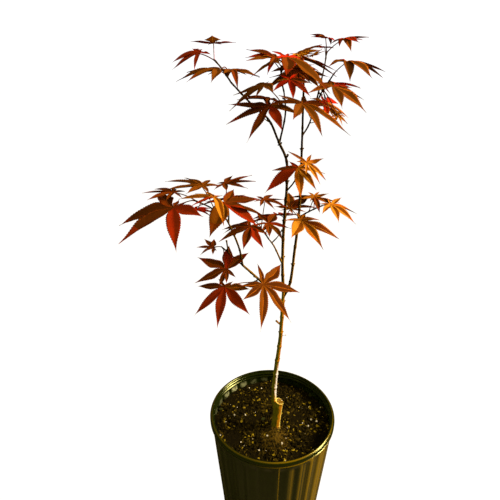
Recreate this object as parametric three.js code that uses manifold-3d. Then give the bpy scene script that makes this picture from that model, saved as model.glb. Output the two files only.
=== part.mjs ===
import * as THREE from "three";
import { mergeVertices } from "three/addons/utils/BufferGeometryUtils.js";
import Module from "manifold-3d";

// A young japanese maple, grafted on a rootstock, in a nursery pot.
// Millimetres, +Z up. The origin is the middle of the pot's flat underside,
// +X runs to the right of the front view and -Y is the front.

// Driving dimensions of the pot and its soil
const POT_HEIGHT = 170;
const RIM_RADIUS = 82.5;
const FOOT_RADIUS = 67.5;
const WALL_TOP_RADIUS = 80.4;
const WALL = 2;
const LIP_HEIGHT = 8;
const LIP_ROUND = 0.8;
const LIP_THICKNESS = 2.4;
const FLUTES = 30;
const FLUTE_DEPTH = 0.8;
const FLUTE_START = 8;
const DRAIN_HOLES = 4;
const DRAIN_RADIUS = 5;
const DRAIN_HEIGHT = 9;
const DRAIN_DEPTH = 12;
const DRAIN_SIDES = 8;
const DRAIN_TURN = 27;
const SOIL_LEVEL = 150;
const SOIL_RELIEF = 2.2;
const SOIL_RINGS = [0.84, 0.62, 0.36, 0];
const LEVEL_ROUND_TRUNK = 15;

// Driving dimensions of the wood
const GAP = 0.3;
const TRUNK_FOOT = [4, -10];
const TRUNK_SIDES = 8;
const TRUNK_STEPS = 10;
const FLARE_RADIUS = 9.5;
const FLARE_SHARE = 0.25;
const ROOTSTOCK_RADIUS = 6;
const ROOTSTOCK_TOP = 198;
const STUB_SLANT = 18;
const SCION_RADIUS = 3.1;
const FORK_RADIUS = 2.5;
const SNAG_HEIGHT = 312;
const SNAG_TIP = [0.8, -11, 321];
const SNAG_RADIUS = 1.1;
const LIMB_SIDES = 6;
const LIMB_POINTS = 40;
const HEIGHT_STEPS = 100;
const STEM_RADIUS = 0.85;
const STEM_TIP_RADIUS = 0.65;
const PETIOLE_RADIUS = 0.6;

// Driving dimensions of a leaf: half of its lobes, from the middle one outward
const LOBE_ANGLES = [0, 38, 80, 132];
const LOBE_SHARES = [1, 0.93, 0.7, 0.44];
const ANGLE_JITTER = 5;
const SHARE_JITTER = 0.07;
const LOBE_HALF_WIDTH = 0.1;
const NOTCH_REACH = 0.15;
const STALK_NOTCH_REACH = 0.05;
const BELLY_AT = 0.45;
const TAIL_AT = 0.78;
const TAIL_WIDTH = 0.34;
const LEAF_THICKNESS = 1.2;
const TAIL_THICKNESS = 0.85;
const NOTCH_LIFT = 0.4;
const CURL = 0.14;
const PETIOLE_ARCH = 0.14;
const PETIOLE_ROOT = 2;
const CLEAR_OF_LIMBS = 3.5;
const CLEARANCE_PLACES = [0, 0.3, 0.6, 0.9];

const FINISHES = {
  pot: { color: 0x1e1c08, roughness: 0.42 },
  soil: { color: 0x3a2412, roughness: 0.95 },
  bark: { color: 0x8c7440, roughness: 0.75 },
  youngBark: { color: 0x3b2410, roughness: 0.6 },
  darkLeaf: { color: 0x46260a, roughness: 0.55 },
  redLeaf: { color: 0x8c1c08, roughness: 0.55 },
  orangeLeaf: { color: 0xb45a10, roughness: 0.55 },
};

// The limbs. Each is one tapering round of wood. It leaves the limb named in "from" at a height
// on its axis, or at its tip where no height is given, and runs through the places in "path".
const LIMBS = {
  leader_left: {
    from: "trunk",
    path: [[6.5, -6, 392], [6.6, -3, 433], [8.5, 0, 484], [7.2, 2, 506], [-1, 2, 524]],
    radii: [2.3, 1.6],
  },
  leader_right: {
    from: "trunk",
    height: 350,
    path: [[15, -7, 366], [19.6, -3, 409], [22.4, 0, 444], [24.2, 2, 501], [20.8, 0, 578]],
    radii: [2.1, 1.2],
  },
  bough_upper_left: {
    from: "leader_left",
    path: [[-11.5, -5, 546], [-27, -11, 560], [-46, -20, 580]],
    radii: [1.5, 1],
  },
  bough_upper_middle: {
    from: "leader_left",
    height: 521,
    path: [[5, 5, 551], [3, 5, 570]],
    radii: [1.3, 0.9],
  },
  bough_upper_right: {
    from: "leader_right",
    height: 528,
    path: [[28, 5, 539], [34, 8, 557], [40, 11, 570]],
    radii: [1.1, 0.9],
  },
  bough_lower_left: {
    from: "trunk",
    height: 342,
    path: [[1, -12, 354], [-20, -22, 382], [-37, -30, 403]],
    radii: [1.9, 1.5],
  },
  bough_left_rise: {
    from: "bough_lower_left",
    path: [[-40, -36, 424], [-46, -44, 446], [-51, -50, 461]],
    radii: [1.4, 1.1],
  },
  bough_left_tip: {
    from: "bough_lower_left",
    height: 401,
    path: [[-47, -30, 413], [-54, -30, 420]],
    radii: [1.2, 0.9],
  },
  bough_centre: {
    from: "leader_left",
    height: 391,
    path: [[-4, -12, 417], [-10, -16, 427]],
    radii: [1.3, 1],
  },
};

// The masses of foliage. Each is one stem and the leaves that it carries. "along" is where on
// the stem a leaf's stalk starts, "at" is the base of its blade, "heading" is the way that its
// middle lobe points, in degrees round from +X, and "droop" is how far that lobe dips. "roll"
// turns the blade about that lobe, and "spread" opens or closes its lobes.
const SHOOTS = {
  foliage_top_left: {
    from: "bough_upper_left",
    stem: [[-54, -25, 592], [-60, -27, 599]],
    finish: "darkLeaf",
    leaves: [
      { along: 1, at: [-60, -27, 612], heading: 250, droop: -8, roll: 0, length: 22 },
      { along: 0.9, at: [-73, -24, 605], heading: 200, droop: 12, roll: 15, length: 32 },
      { along: 0.35, at: [-56, -27, 591], heading: 190, droop: -4, roll: 0, length: 44 },
      { along: 0.35, at: [-45, -29, 591], heading: 330, droop: 4, roll: 0, length: 30 },
      { along: 0.6, at: [-50, 2, 596], heading: 95, droop: 20, roll: 0, length: 38 },
    ],
  },
  foliage_top_front: {
    from: "bough_upper_middle",
    height: 556,
    stem: [[0, -5, 560], [-6, -10, 564]],
    finish: "darkLeaf",
    leaves: [
      { along: 0.4, at: [-16, -27, 579], heading: 200, droop: 24, roll: 0, length: 38 },
      { along: 0.6, at: [-12, -12, 566], heading: 180, droop: -5, roll: 0, length: 30 },
      { along: 1, at: [-11, -24, 561], heading: 243, droop: 30, roll: 0, length: 41 },
    ],
  },
  foliage_top_centre: {
    from: "bough_upper_middle",
    stem: [[0, 7, 582], [0, 5, 592]],
    finish: "redLeaf",
    leaves: [
      { along: 1, at: [-6, 6, 600], heading: 180, droop: -12, roll: 0, length: 30 },
      { along: 0.8, at: [-10, 3, 597], heading: 200, droop: 28, roll: 0, length: 32 },
      { along: 0.9, at: [3, -14, 598], heading: 310, droop: 25, roll: 0, length: 40 },
      { along: 1, at: [12, 2, 600], heading: 345, droop: 6, roll: 0, length: 42 },
      { along: 0.9, at: [15, 18, 602], heading: 20, droop: -25, roll: 0, length: 26 },
      { along: 0.5, at: [6, -20, 584], heading: 275, droop: 30, roll: 0, length: 23 },
      { along: 0.7, at: [-4, 30, 594], heading: 110, droop: 25, roll: 0, length: 42 },
    ],
  },
  foliage_top_right_high: {
    from: "bough_upper_right",
    height: 556,
    stem: [[38, 16, 572], [43, 25, 592], [45, 30, 604]],
    finish: "redLeaf",
    leaves: [
      { along: 1, at: [45, 30, 617], heading: 190, droop: -12, roll: 0, length: 19 },
      { along: 1, at: [58, 24, 616], heading: 350, droop: -6, roll: 0, length: 27 },
      { along: 0.9, at: [46, 38, 609], heading: 200, droop: -5, roll: 0, length: 18 },
      { along: 0.5, at: [38, 48, 598], heading: 100, droop: 25, roll: 0, length: 40 },
    ],
  },
  foliage_top_right: {
    from: "bough_upper_right",
    stem: [[45, 10, 578], [50, 10, 586]],
    finish: "orangeLeaf",
    leaves: [
      { along: 1, at: [58, 8, 597], heading: 345, droop: 6, roll: 0, length: 42 },
      { along: 0.4, at: [47, -6, 576], heading: 322, droop: 20, roll: 0, length: 44 },
      { along: 0.6, at: [50, 20, 577], heading: 10, droop: 0, roll: 0, length: 30 },
      { along: 0.1, at: [42, 7, 561], heading: 325, droop: 28, roll: 0, length: 28 },
    ],
  },
  foliage_right_front: {
    from: "leader_right",
    height: 558,
    stem: [[19, -6, 564], [19, -10, 566]],
    finish: "orangeLeaf",
    leaves: [
      { along: 1, at: [18, -24, 563], heading: 307, droop: 22, roll: 0, length: 51 },
    ],
  },
  foliage_right_crest: {
    from: "leader_right",
    stem: [[21, 2, 583], [20, 6, 586]],
    finish: "redLeaf",
    leaves: [
      { along: 1, at: [14, -8, 589], heading: 260, droop: 40, roll: 0, length: 27 },
      { along: 1, at: [19, 28, 586], heading: 95, droop: 20, roll: 0, length: 44 },
    ],
  },
  foliage_middle_right_high: {
    from: "leader_left",
    height: 473,
    stem: [[15, -8, 486], [18, -14, 497]],
    finish: "orangeLeaf",
    leaves: [
      { along: 1, at: [23, -34, 512], heading: 300, droop: 42, roll: 0, length: 27 },
      { along: 0.8, at: [16, -26, 505], heading: 258, droop: 28, roll: 0, length: 40 },
    ],
  },
  foliage_middle_right: {
    from: "leader_right",
    height: 443,
    stem: [[33, -8, 455], [44, -12, 462]],
    finish: "orangeLeaf",
    leaves: [
      { along: 0.5, at: [35, -16, 474], heading: 280, droop: 35, roll: 0, length: 20 },
      { along: 1, at: [51, -22, 467], heading: 325, droop: 14, roll: 0, length: 32 },
      { along: 0.3, at: [22, -28, 452], heading: 330, droop: 18, roll: 0, length: 42 },
      { along: 0.7, at: [46, 14, 470], heading: 40, droop: 20, roll: 0, length: 40 },
    ],
  },
  foliage_middle_centre: {
    from: "leader_left",
    height: 436,
    stem: [[8, 3, 440], [9, 6, 442]],
    finish: "darkLeaf",
    leaves: [
      { along: 1, at: [14, 12, 450], heading: 60, droop: -12, roll: 0, length: 28 },
      { along: 0.8, at: [2, 26, 447], heading: 100, droop: 15, roll: 0, length: 42 },
    ],
  },
  foliage_centre_left: {
    from: "bough_centre",
    stem: [[-15, -19, 436], [-19, -22, 442]],
    finish: "darkLeaf",
    leaves: [
      { along: 0.9, at: [-16, -14, 469], heading: 342, droop: 4, roll: 0, length: 25 },
      { along: 0.4, at: [-11, -26, 448], heading: 325, droop: 15, roll: 0, length: 28 },
      { along: 1, at: [-29, -46, 453], heading: 240, droop: 17, roll: 0, length: 33 },
      { along: 0.8, at: [-24, 8, 452], heading: 130, droop: 20, roll: 0, length: 42 },
    ],
  },
  foliage_left_far: {
    from: "bough_left_rise",
    stem: [[-66, -54, 475], [-80, -60, 484]],
    finish: "darkLeaf",
    leaves: [
      { along: 1, at: [-97, -70, 480], heading: 220, droop: 14, roll: 0, length: 58, spread: 1.25 },
      { along: 0.9, at: [-100, -46, 487], heading: 180, droop: -6, roll: 0, length: 30 },
      { along: 0.4, at: [-74, -32, 489], heading: 165, droop: -8, roll: 0, length: 40 },
      { along: 0.8, at: [-78, -68, 478], heading: 0, droop: 0, roll: 0, length: 18 },
    ],
  },
  foliage_left_near: {
    from: "bough_left_rise",
    height: 457,
    stem: [[-50, -46, 470], [-54, -50, 478]],
    finish: "redLeaf",
    leaves: [
      { along: 0.8, at: [-54, -24, 489], heading: 0, droop: -10, roll: 0, length: 32 },
      { along: 1, at: [-63, -70, 486], heading: 188, droop: -6, roll: 0, length: 30 },
      { along: 1, at: [-52, -66, 483], heading: 310, droop: 16, roll: 0, length: 40 },
      { along: 0.6, at: [-50, -16, 478], heading: 120, droop: 20, roll: 0, length: 40 },
    ],
  },
  foliage_low_left: {
    from: "bough_left_tip",
    stem: [[-57, -31, 423], [-58, -32, 425]],
    finish: "darkLeaf",
    leaves: [
      { along: 1, at: [-67, -30, 423], heading: 175, droop: -6, roll: 0, length: 18 },
      { along: 0.5, at: [-53, -45, 406], heading: 190, droop: 5, roll: -35, length: 36 },
    ],
  },
  foliage_low_front: {
    from: "bough_lower_left",
    height: 382,
    stem: [[-24, -32, 385], [-28, -38, 387]],
    finish: "orangeLeaf",
    leaves: [
      { along: 0.6, at: [-16, -50, 391], heading: 314, droop: 38, roll: 0, length: 46, spread: 1.1 },
      { along: 1, at: [-55, -52, 390], heading: 255, droop: 38, roll: 0, length: 44 },
    ],
  },
};

const wasm = await Module();
wasm.setup();

// A repeatable row of random numbers between 0 and 1
function seeded(text) {
  let state = 0;
  for (const letter of text) {
    state = (Math.imul(state, 31) + letter.charCodeAt(0)) >>> 0;
  }
  return () => {
    state = (state + 0x6d2b79f5) >>> 0;
    let mix = Math.imul(state ^ (state >>> 15), state | 1);
    mix ^= mix + Math.imul(mix ^ (mix >>> 7), mix | 61);
    return ((mix ^ (mix >>> 14)) >>> 0) / 4294967296;
  };
}

function degrees(angle) {
  return THREE.MathUtils.degToRad(angle);
}

function vector(place) {
  return new THREE.Vector3(place[0], place[1], place[2]);
}

// Manifold solids from three.js geometry, and back again
function solidOf(geometry) {
  const bare = geometry.clone();
  for (const name of Object.keys(bare.attributes)) {
    if (name !== "position") bare.deleteAttribute(name);
  }
  const merged = mergeVertices(bare, 1e-4);
  const mesh = new wasm.Mesh({
    numProp: 3,
    vertProperties: new Float32Array(merged.attributes.position.array),
    triVerts: new Uint32Array(merged.index.array),
  });
  return new wasm.Manifold(mesh);
}

function geometryOf(solid) {
  const mesh = solid.getMesh();
  const geometry = new THREE.BufferGeometry();
  geometry.setAttribute("position", new THREE.BufferAttribute(mesh.vertProperties, 3));
  geometry.setIndex(new THREE.BufferAttribute(mesh.triVerts, 1));
  return geometry;
}

function meshGeometry(points, faces) {
  const geometry = new THREE.BufferGeometry();
  geometry.setAttribute("position", new THREE.Float32BufferAttribute(points.flat(), 3));
  geometry.setIndex(faces.flat());
  return geometry;
}

// A round tapering limb along a curve, closed at both ends
function taperedLimb(curve, radiusAt, sides, steps) {
  const frames = curve.computeFrenetFrames(steps, false);
  const points = [];
  for (let step = 0; step <= steps; step += 1) {
    const centre = curve.getPointAt(step / steps);
    const radius = radiusAt(step / steps);
    for (let side = 0; side < sides; side += 1) {
      const turn = (2 * Math.PI * side) / sides;
      const across = frames.normals[step].clone().multiplyScalar(Math.cos(turn) * radius);
      const along = frames.binormals[step].clone().multiplyScalar(Math.sin(turn) * radius);
      points.push(centre.clone().add(across).add(along).toArray());
    }
  }
  const faces = [];
  for (let step = 0; step < steps; step += 1) {
    for (let side = 0; side < sides; side += 1) {
      const next = (side + 1) % sides;
      const low = step * sides;
      const high = low + sides;
      faces.push([low + side, low + next, high + next]);
      faces.push([low + side, high + next, high + side]);
    }
  }
  const last = steps * sides;
  for (let side = 1; side < sides - 1; side += 1) {
    faces.push([0, side + 1, side]);
    faces.push([last, last + side, last + side + 1]);
  }
  return meshGeometry(points, faces);
}

function curveThrough(points) {
  return new THREE.CatmullRomCurve3(points, false, "centripetal");
}

// The first of a curve's even steps that reaches a height
function pointAtHeight(curve, height) {
  return curve.getSpacedPoints(HEIGHT_STEPS).find((point) => point.z >= height);
}

// The axis of a limb or stem, from its carrier's axis through the places of its own
function rootedCurve(carrier, height, path) {
  const start = height === undefined ? carrier.getPointAt(1) : pointAtHeight(carrier, height);
  return curveThrough([start, ...path.map(vector)]);
}

// The same curve, run on past both ends
function stretched(curve, extra) {
  const points = curve.points.map((point) => point.clone());
  points[0].addScaledVector(curve.getTangentAt(0), -extra);
  points.at(-1).addScaledVector(curve.getTangentAt(1), extra);
  return curveThrough(points);
}

// The pot: a turned wall with a lip, upright flutes and drain holes low in its side
function wallRadius(height) {
  const rise = height / (POT_HEIGHT - LIP_HEIGHT);
  return FOOT_RADIUS + (WALL_TOP_RADIUS - FOOT_RADIUS) * rise;
}

function turned(profile) {
  const points = profile.map(([radius, height]) => new THREE.Vector2(radius, height));
  return new THREE.LatheGeometry(points, 2 * FLUTES);
}

function fluted(geometry, rows, profileLength) {
  const position = geometry.attributes.position;
  for (let turn = 1; turn < 2 * FLUTES; turn += 2) {
    for (const row of rows) {
      const index = turn * profileLength + row;
      const x = position.getX(index);
      const z = position.getZ(index);
      const scale = 1 - FLUTE_DEPTH / Math.hypot(x, z);
      position.setX(index, x * scale);
      position.setZ(index, z * scale);
    }
  }
}

function potSolid() {
  const lipFoot = POT_HEIGHT - LIP_HEIGHT;
  const profile = [
    [0, 0],
    [FOOT_RADIUS - 1, 0],
    [wallRadius(1), 1],
    [wallRadius(FLUTE_START), FLUTE_START],
    [wallRadius(lipFoot - 2), lipFoot - 2],
    [wallRadius(lipFoot), lipFoot],
    [RIM_RADIUS - LIP_ROUND / 2, lipFoot + LIP_ROUND],
    [RIM_RADIUS, POT_HEIGHT - LIP_ROUND],
    [RIM_RADIUS - LIP_ROUND, POT_HEIGHT],
    [RIM_RADIUS - LIP_THICKNESS, POT_HEIGHT],
    [wallRadius(POT_HEIGHT - WALL) - WALL, POT_HEIGHT - WALL],
    [wallRadius(WALL) - WALL, WALL],
    [0, WALL],
  ];
  const shell = turned(profile);
  fluted(shell, [3, 4], profile.length);
  shell.rotateX(Math.PI / 2);
  let solid = solidOf(shell);
  for (let hole = 0; hole < DRAIN_HOLES; hole += 1) {
    const drill = new THREE.CylinderGeometry(DRAIN_RADIUS, DRAIN_RADIUS, DRAIN_DEPTH, DRAIN_SIDES);
    drill.translate(0, wallRadius(DRAIN_HEIGHT) - WALL / 2, 0);
    drill.rotateZ(degrees(DRAIN_TURN + (360 * hole) / DRAIN_HOLES));
    drill.translate(0, 0, DRAIN_HEIGHT);
    solid = solid.subtract(solidOf(drill));
  }
  return solid;
}

// The soil: it fills the pot to its level, lumpy on top and level round the trunk's foot
function soilRelief(x, y) {
  const away = Math.hypot(x - TRUNK_FOOT[0], y - TRUNK_FOOT[1]) - LEVEL_ROUND_TRUNK;
  const share = THREE.MathUtils.smoothstep(away, 0, LEVEL_ROUND_TRUNK);
  return share * SOIL_RELIEF * Math.sin(x / 9 + 1) * Math.cos(y / 11 - 0.6);
}

function soilSolid() {
  const edge = wallRadius(SOIL_LEVEL) - WALL - GAP;
  const profile = [
    [0, WALL + GAP],
    [wallRadius(WALL + GAP) - WALL - GAP, WALL + GAP],
    [edge, SOIL_LEVEL],
    ...SOIL_RINGS.map((share) => [edge * share, SOIL_LEVEL]),
  ];
  const fill = turned(profile);
  fill.rotateX(Math.PI / 2);
  const position = fill.attributes.position;
  for (let index = 0; index < position.count; index += 1) {
    const x = position.getX(index);
    const y = position.getY(index);
    if (position.getZ(index) === SOIL_LEVEL && Math.hypot(x, y) < edge - 1) {
      position.setZ(index, SOIL_LEVEL + soilRelief(x, y));
    }
  }
  return solidOf(fill);
}

// The trunk: a flared rootstock cut off beside the graft, and the scion that rises from it
function rootstockSolid() {
  const [x, y] = TRUNK_FOOT;
  const foot = SOIL_LEVEL + GAP;
  const path = [[x, y, foot], [x + 1, y, foot + 10], [x + 2, y, 176], [x + 4, y, ROOTSTOCK_TOP]];
  const flare = FLARE_RADIUS - ROOTSTOCK_RADIUS;
  const radiusAt = (share) => ROOTSTOCK_RADIUS + flare * Math.max(0, 1 - share / FLARE_SHARE) ** 2;
  const limb = taperedLimb(curveThrough(path.map(vector)), radiusAt, TRUNK_SIDES + 2, TRUNK_STEPS);
  const level = new THREE.BoxGeometry(60, 60, 20).translate(x, y, foot - 10);
  const slant = new THREE.BoxGeometry(30, 30, 20).translate(0, 0, 10);
  slant.rotateY(degrees(STUB_SLANT)).translate(x + 5, y, ROOTSTOCK_TOP - 2);
  return solidOf(limb).subtract(solidOf(level)).subtract(solidOf(slant));
}

function scionCurve() {
  const [x, y] = TRUNK_FOOT;
  const graft = [[x + 1, y, 178], [x - 2.8, y, 202]];
  const path = [...graft, [3, -9, 249], [6.6, -9, 291], [7.6, -9, 320], [8.5, -8, 358]];
  return curveThrough(path.map(vector));
}

function scionRadius(share) {
  return SCION_RADIUS + (FORK_RADIUS - SCION_RADIUS) * share;
}

function trunkSolid(scion) {
  const wood = taperedLimb(scion, scionRadius, TRUNK_SIDES, TRUNK_STEPS);
  const snagAxis = curveThrough([pointAtHeight(scion, SNAG_HEIGHT), vector(SNAG_TIP)]);
  const snag = taperedLimb(snagAxis, () => SNAG_RADIUS, LIMB_SIDES, 2);
  return rootstockSolid().add(solidOf(wood)).add(solidOf(snag));
}

function limbSolid(curve, radii, extra) {
  const radiusAt = (share) => radii[0] + (radii[1] - radii[0]) * share + extra;
  const axis = extra > 0 ? stretched(curve, extra) : curve;
  return solidOf(taperedLimb(axis, radiusAt, LIMB_SIDES, 3 * (curve.points.length - 1)));
}

// The frame of a blade: the way its middle lobe points, its left side and its face
function bladeFrame(leaf) {
  const heading = degrees(leaf.heading);
  const droop = degrees(leaf.droop);
  const roll = degrees(leaf.roll);
  const ahead = new THREE.Vector3(
    Math.cos(heading) * Math.cos(droop),
    Math.sin(heading) * Math.cos(droop),
    -Math.sin(droop),
  );
  const level = new THREE.Vector3(-Math.sin(heading), Math.cos(heading), 0);
  const face = ahead.clone().cross(level);
  const left = level.clone().multiplyScalar(Math.cos(roll)).addScaledVector(face, Math.sin(roll));
  return { ahead, left, up: ahead.clone().cross(left) };
}

// The lobes of one leaf, from its right basal lobe round to its left one
function lobesOf(leaf, random) {
  const lobes = [];
  for (let step = 1 - LOBE_ANGLES.length; step < LOBE_ANGLES.length; step += 1) {
    const place = Math.abs(step);
    const turn = Math.sign(step) * LOBE_ANGLES[place] * (leaf.spread ?? 1);
    const angle = turn + ANGLE_JITTER * (2 * random() - 1);
    const share = LOBE_SHARES[place] * (1 + SHARE_JITTER * (2 * random() - 1));
    lobes.push({ angle: degrees(angle), length: leaf.length * share });
  }
  return lobes;
}

// One leaf: seven pointed lobes, thickest along their ribs, curling down to their tips
function leafGeometry(leaf, random) {
  const { ahead, left, up } = bladeFrame(leaf);
  const base = vector(leaf.at);
  const place = (reach, angle, side, lift) => {
    const x = reach * Math.cos(angle) - side * Math.sin(angle);
    const y = reach * Math.sin(angle) + side * Math.cos(angle);
    const sag = (CURL * (x * x + y * y)) / leaf.length;
    const point = base.clone().addScaledVector(ahead, x).addScaledVector(left, y);
    return point.addScaledVector(up, lift - sag).toArray();
  };
  const lobes = lobesOf(leaf, random);
  const points = [place(0, 0, 0, LEAF_THICKNESS), place(0, 0, 0, 0)];
  lobes.forEach((lobe, index) => {
    const last = index + 1 === lobes.length;
    const next = last ? lobes[0].angle + 2 * Math.PI : lobes[index + 1].angle;
    const reach = leaf.length * (last ? STALK_NOTCH_REACH : NOTCH_REACH);
    points.push(place(reach, (lobe.angle + next) / 2, 0, NOTCH_LIFT));
  });
  const faces = [];
  lobes.forEach((lobe, index) => {
    const wide = LOBE_HALF_WIDTH * lobe.length;
    const belly = BELLY_AT * lobe.length;
    const tail = TAIL_AT * lobe.length;
    const narrow = TAIL_WIDTH * wide;
    const ribs = points.push(place(belly, lobe.angle, 0, LEAF_THICKNESS)) - 1;
    points.push(place(tail, lobe.angle, 0, TAIL_THICKNESS));
    points.push(place(belly, lobe.angle, -wide, 0), place(tail, lobe.angle, -narrow, 0));
    points.push(place(lobe.length, lobe.angle, 0, 0));
    points.push(place(tail, lobe.angle, narrow, 0), place(belly, lobe.angle, wide, 0));
    const right = 2 + ((index + lobes.length - 1) % lobes.length);
    faces.push(...lobeFaces(ribs, right, index + 2));
  });
  return meshGeometry(points, faces);
}

// A lobe's faces: the upper ones meet along its rib, the lower ones lie flat across it
function lobeFaces(belly, right, left) {
  const steps = [1, 2, 3, 4, 5, 6];
  const [tail, rightWide, rightTail, tip, leftTail, leftWide] = steps.map((step) => belly + step);
  return [
    [0, right, belly],
    [right, rightWide, belly],
    [belly, rightWide, tail],
    [rightWide, rightTail, tail],
    [tail, rightTail, tip],
    [tail, tip, leftTail],
    [tail, leftTail, leftWide],
    [belly, tail, leftWide],
    [belly, leftWide, left],
    [0, belly, left],
    [1, rightWide, right],
    [1, leftWide, rightWide],
    [1, left, leftWide],
    [rightWide, leftTail, rightTail],
    [rightWide, leftWide, leftTail],
    [rightTail, leftTail, tip],
  ];
}

// A leaf's stalk: it leaves the stem, arches over and ends inside the blade's base
function petioleSolid(curve, leaf) {
  const start = curve.getPointAt(leaf.along);
  const { ahead } = bladeFrame(leaf);
  const end = vector(leaf.at).addScaledVector(ahead, PETIOLE_ROOT);
  const middle = start.clone().add(end).multiplyScalar(0.5);
  middle.z += PETIOLE_ARCH * start.distanceTo(end);
  const bend = new THREE.QuadraticBezierCurve3(start, middle, end);
  return solidOf(taperedLimb(bend, () => PETIOLE_RADIUS, 3, 3));
}

// A blade is left out where the line of its middle lobe would touch a limb
function clearOfLimbs(leaf, limbPoints) {
  const { ahead } = bladeFrame(leaf);
  return CLEARANCE_PLACES.every((share) => {
    const point = vector(leaf.at).addScaledVector(ahead, share * leaf.length);
    return limbPoints.every((place) => place.distanceTo(point) > CLEAR_OF_LIMBS);
  });
}

function shootSolid(name, shoot, curve, limbPoints) {
  const random = seeded(name);
  const taper = (share) => STEM_RADIUS + (STEM_TIP_RADIUS - STEM_RADIUS) * share;
  let solid = solidOf(taperedLimb(curve, taper, 4, 2 * shoot.stem.length));
  for (const leaf of shoot.leaves) {
    const blade = solidOf(leafGeometry(leaf, random));
    if (clearOfLimbs(leaf, limbPoints)) {
      solid = solid.add(petioleSolid(curve, leaf)).add(blade);
    }
  }
  return solid;
}

function namedMesh(name, solid, finish) {
  const material = new THREE.MeshStandardMaterial({ ...FINISHES[finish], metalness: 0 });
  const mesh = new THREE.Mesh(geometryOf(solid), material);
  mesh.name = name;
  return mesh;
}

const plant = new THREE.Group();
const axes = { trunk: scionCurve() };
plant.add(namedMesh("pot", potSolid(), "pot"));
plant.add(namedMesh("soil", soilSolid(), "soil"));
plant.add(namedMesh("trunk", trunkSolid(axes.trunk), "bark"));

// A jacket is a limb grown by the gap, and what meets the limb is cut clear of it
const grownRadius = (share) => scionRadius(share) + GAP;
let jackets = solidOf(taperedLimb(stretched(axes.trunk, GAP), grownRadius, TRUNK_SIDES, TRUNK_STEPS));
for (const [name, limb] of Object.entries(LIMBS)) {
  axes[name] = rootedCurve(axes[limb.from], limb.height, limb.path);
  plant.add(namedMesh(name, limbSolid(axes[name], limb.radii, 0).subtract(jackets), "youngBark"));
  jackets = jackets.add(limbSolid(axes[name], limb.radii, GAP));
}

const limbPoints = Object.values(axes).flatMap((axis) => axis.getSpacedPoints(LIMB_POINTS));
for (const [name, shoot] of Object.entries(SHOOTS)) {
  const curve = rootedCurve(axes[shoot.from], shoot.height, shoot.stem);
  const solid = shootSolid(name, shoot, curve, limbPoints).subtract(jackets);
  plant.add(namedMesh(name, solid, shoot.finish));
}

export default plant;
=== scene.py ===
"""A young grafted japanese maple in its nursery pot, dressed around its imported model.

Sizes and places are in millimetres in the part's frame, and meshes are made in metres. +Z is up,
+X is to the right of the front view, and the front is towards -Y.
"""

import logging
import math
from contextlib import contextmanager
from dataclasses import dataclass, field
from enum import Enum
from typing import Callable, Iterator, Sequence

import bmesh
import bpy
import numpy as np
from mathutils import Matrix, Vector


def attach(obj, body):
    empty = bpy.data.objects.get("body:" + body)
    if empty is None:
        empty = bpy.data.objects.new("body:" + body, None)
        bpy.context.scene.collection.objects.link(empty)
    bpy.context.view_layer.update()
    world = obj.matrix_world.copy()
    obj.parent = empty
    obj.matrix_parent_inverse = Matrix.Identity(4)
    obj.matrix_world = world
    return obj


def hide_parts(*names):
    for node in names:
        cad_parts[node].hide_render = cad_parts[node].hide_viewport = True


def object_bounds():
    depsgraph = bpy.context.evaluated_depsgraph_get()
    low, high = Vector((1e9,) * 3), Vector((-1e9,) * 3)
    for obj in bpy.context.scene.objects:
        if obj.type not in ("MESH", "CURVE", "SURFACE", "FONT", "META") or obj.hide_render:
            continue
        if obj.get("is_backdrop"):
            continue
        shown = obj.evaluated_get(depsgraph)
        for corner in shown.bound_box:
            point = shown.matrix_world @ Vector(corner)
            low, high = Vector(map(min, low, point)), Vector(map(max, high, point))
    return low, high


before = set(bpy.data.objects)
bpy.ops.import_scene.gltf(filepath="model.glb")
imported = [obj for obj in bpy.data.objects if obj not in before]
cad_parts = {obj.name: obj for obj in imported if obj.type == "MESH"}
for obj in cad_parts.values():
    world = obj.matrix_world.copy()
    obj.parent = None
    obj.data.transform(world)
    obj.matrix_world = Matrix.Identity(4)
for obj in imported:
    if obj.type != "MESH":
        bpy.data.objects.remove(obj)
CAD_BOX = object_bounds()

LOG = logging.getLogger("maple")
MM = 0.001
BODY = "root"

Place = tuple[float, float, float]
Colour = tuple[int, int, int]
Object = bpy.types.Object

SUN_DIRECTION: Place = (0.84, -0.03, 0.54)


# Shared helpers for colours, nodes and objects


def linear(colour: Colour) -> tuple[float, float, float, float]:
    """Turn a colour of 0 to 255 a channel into Blender's linear light.

    Args:
        colour: Red, green and blue as a screen shows them.

    Returns:
        The linear colour, with full alpha.
    """
    shares = [channel / 255 for channel in colour]
    light = [s / 12.92 if s <= 0.04045 else ((s + 0.055) / 1.055) ** 2.4 for s in shares]
    return (light[0], light[1], light[2], 1.0)


def seeded(text: str) -> Callable[[], float]:
    """Make a repeatable row of random numbers, the same one that shapes the part's leaves.

    Args:
        text: The name that starts the row.

    Returns:
        A function whose calls give numbers between 0 and 1.
    """
    word = 0xFFFFFFFF
    state = 0
    for letter in text:
        state = (state * 31 + ord(letter)) & word

    def draw() -> float:
        """Give the row's next number."""
        nonlocal state
        state = (state + 0x6D2B79F5) & word
        mix = ((state ^ (state >> 15)) * (state | 1)) & word
        mix ^= (mix + ((mix ^ (mix >> 7)) * (mix | 61))) & word
        return (mix ^ (mix >> 14)) / 4294967296

    return draw


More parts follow.
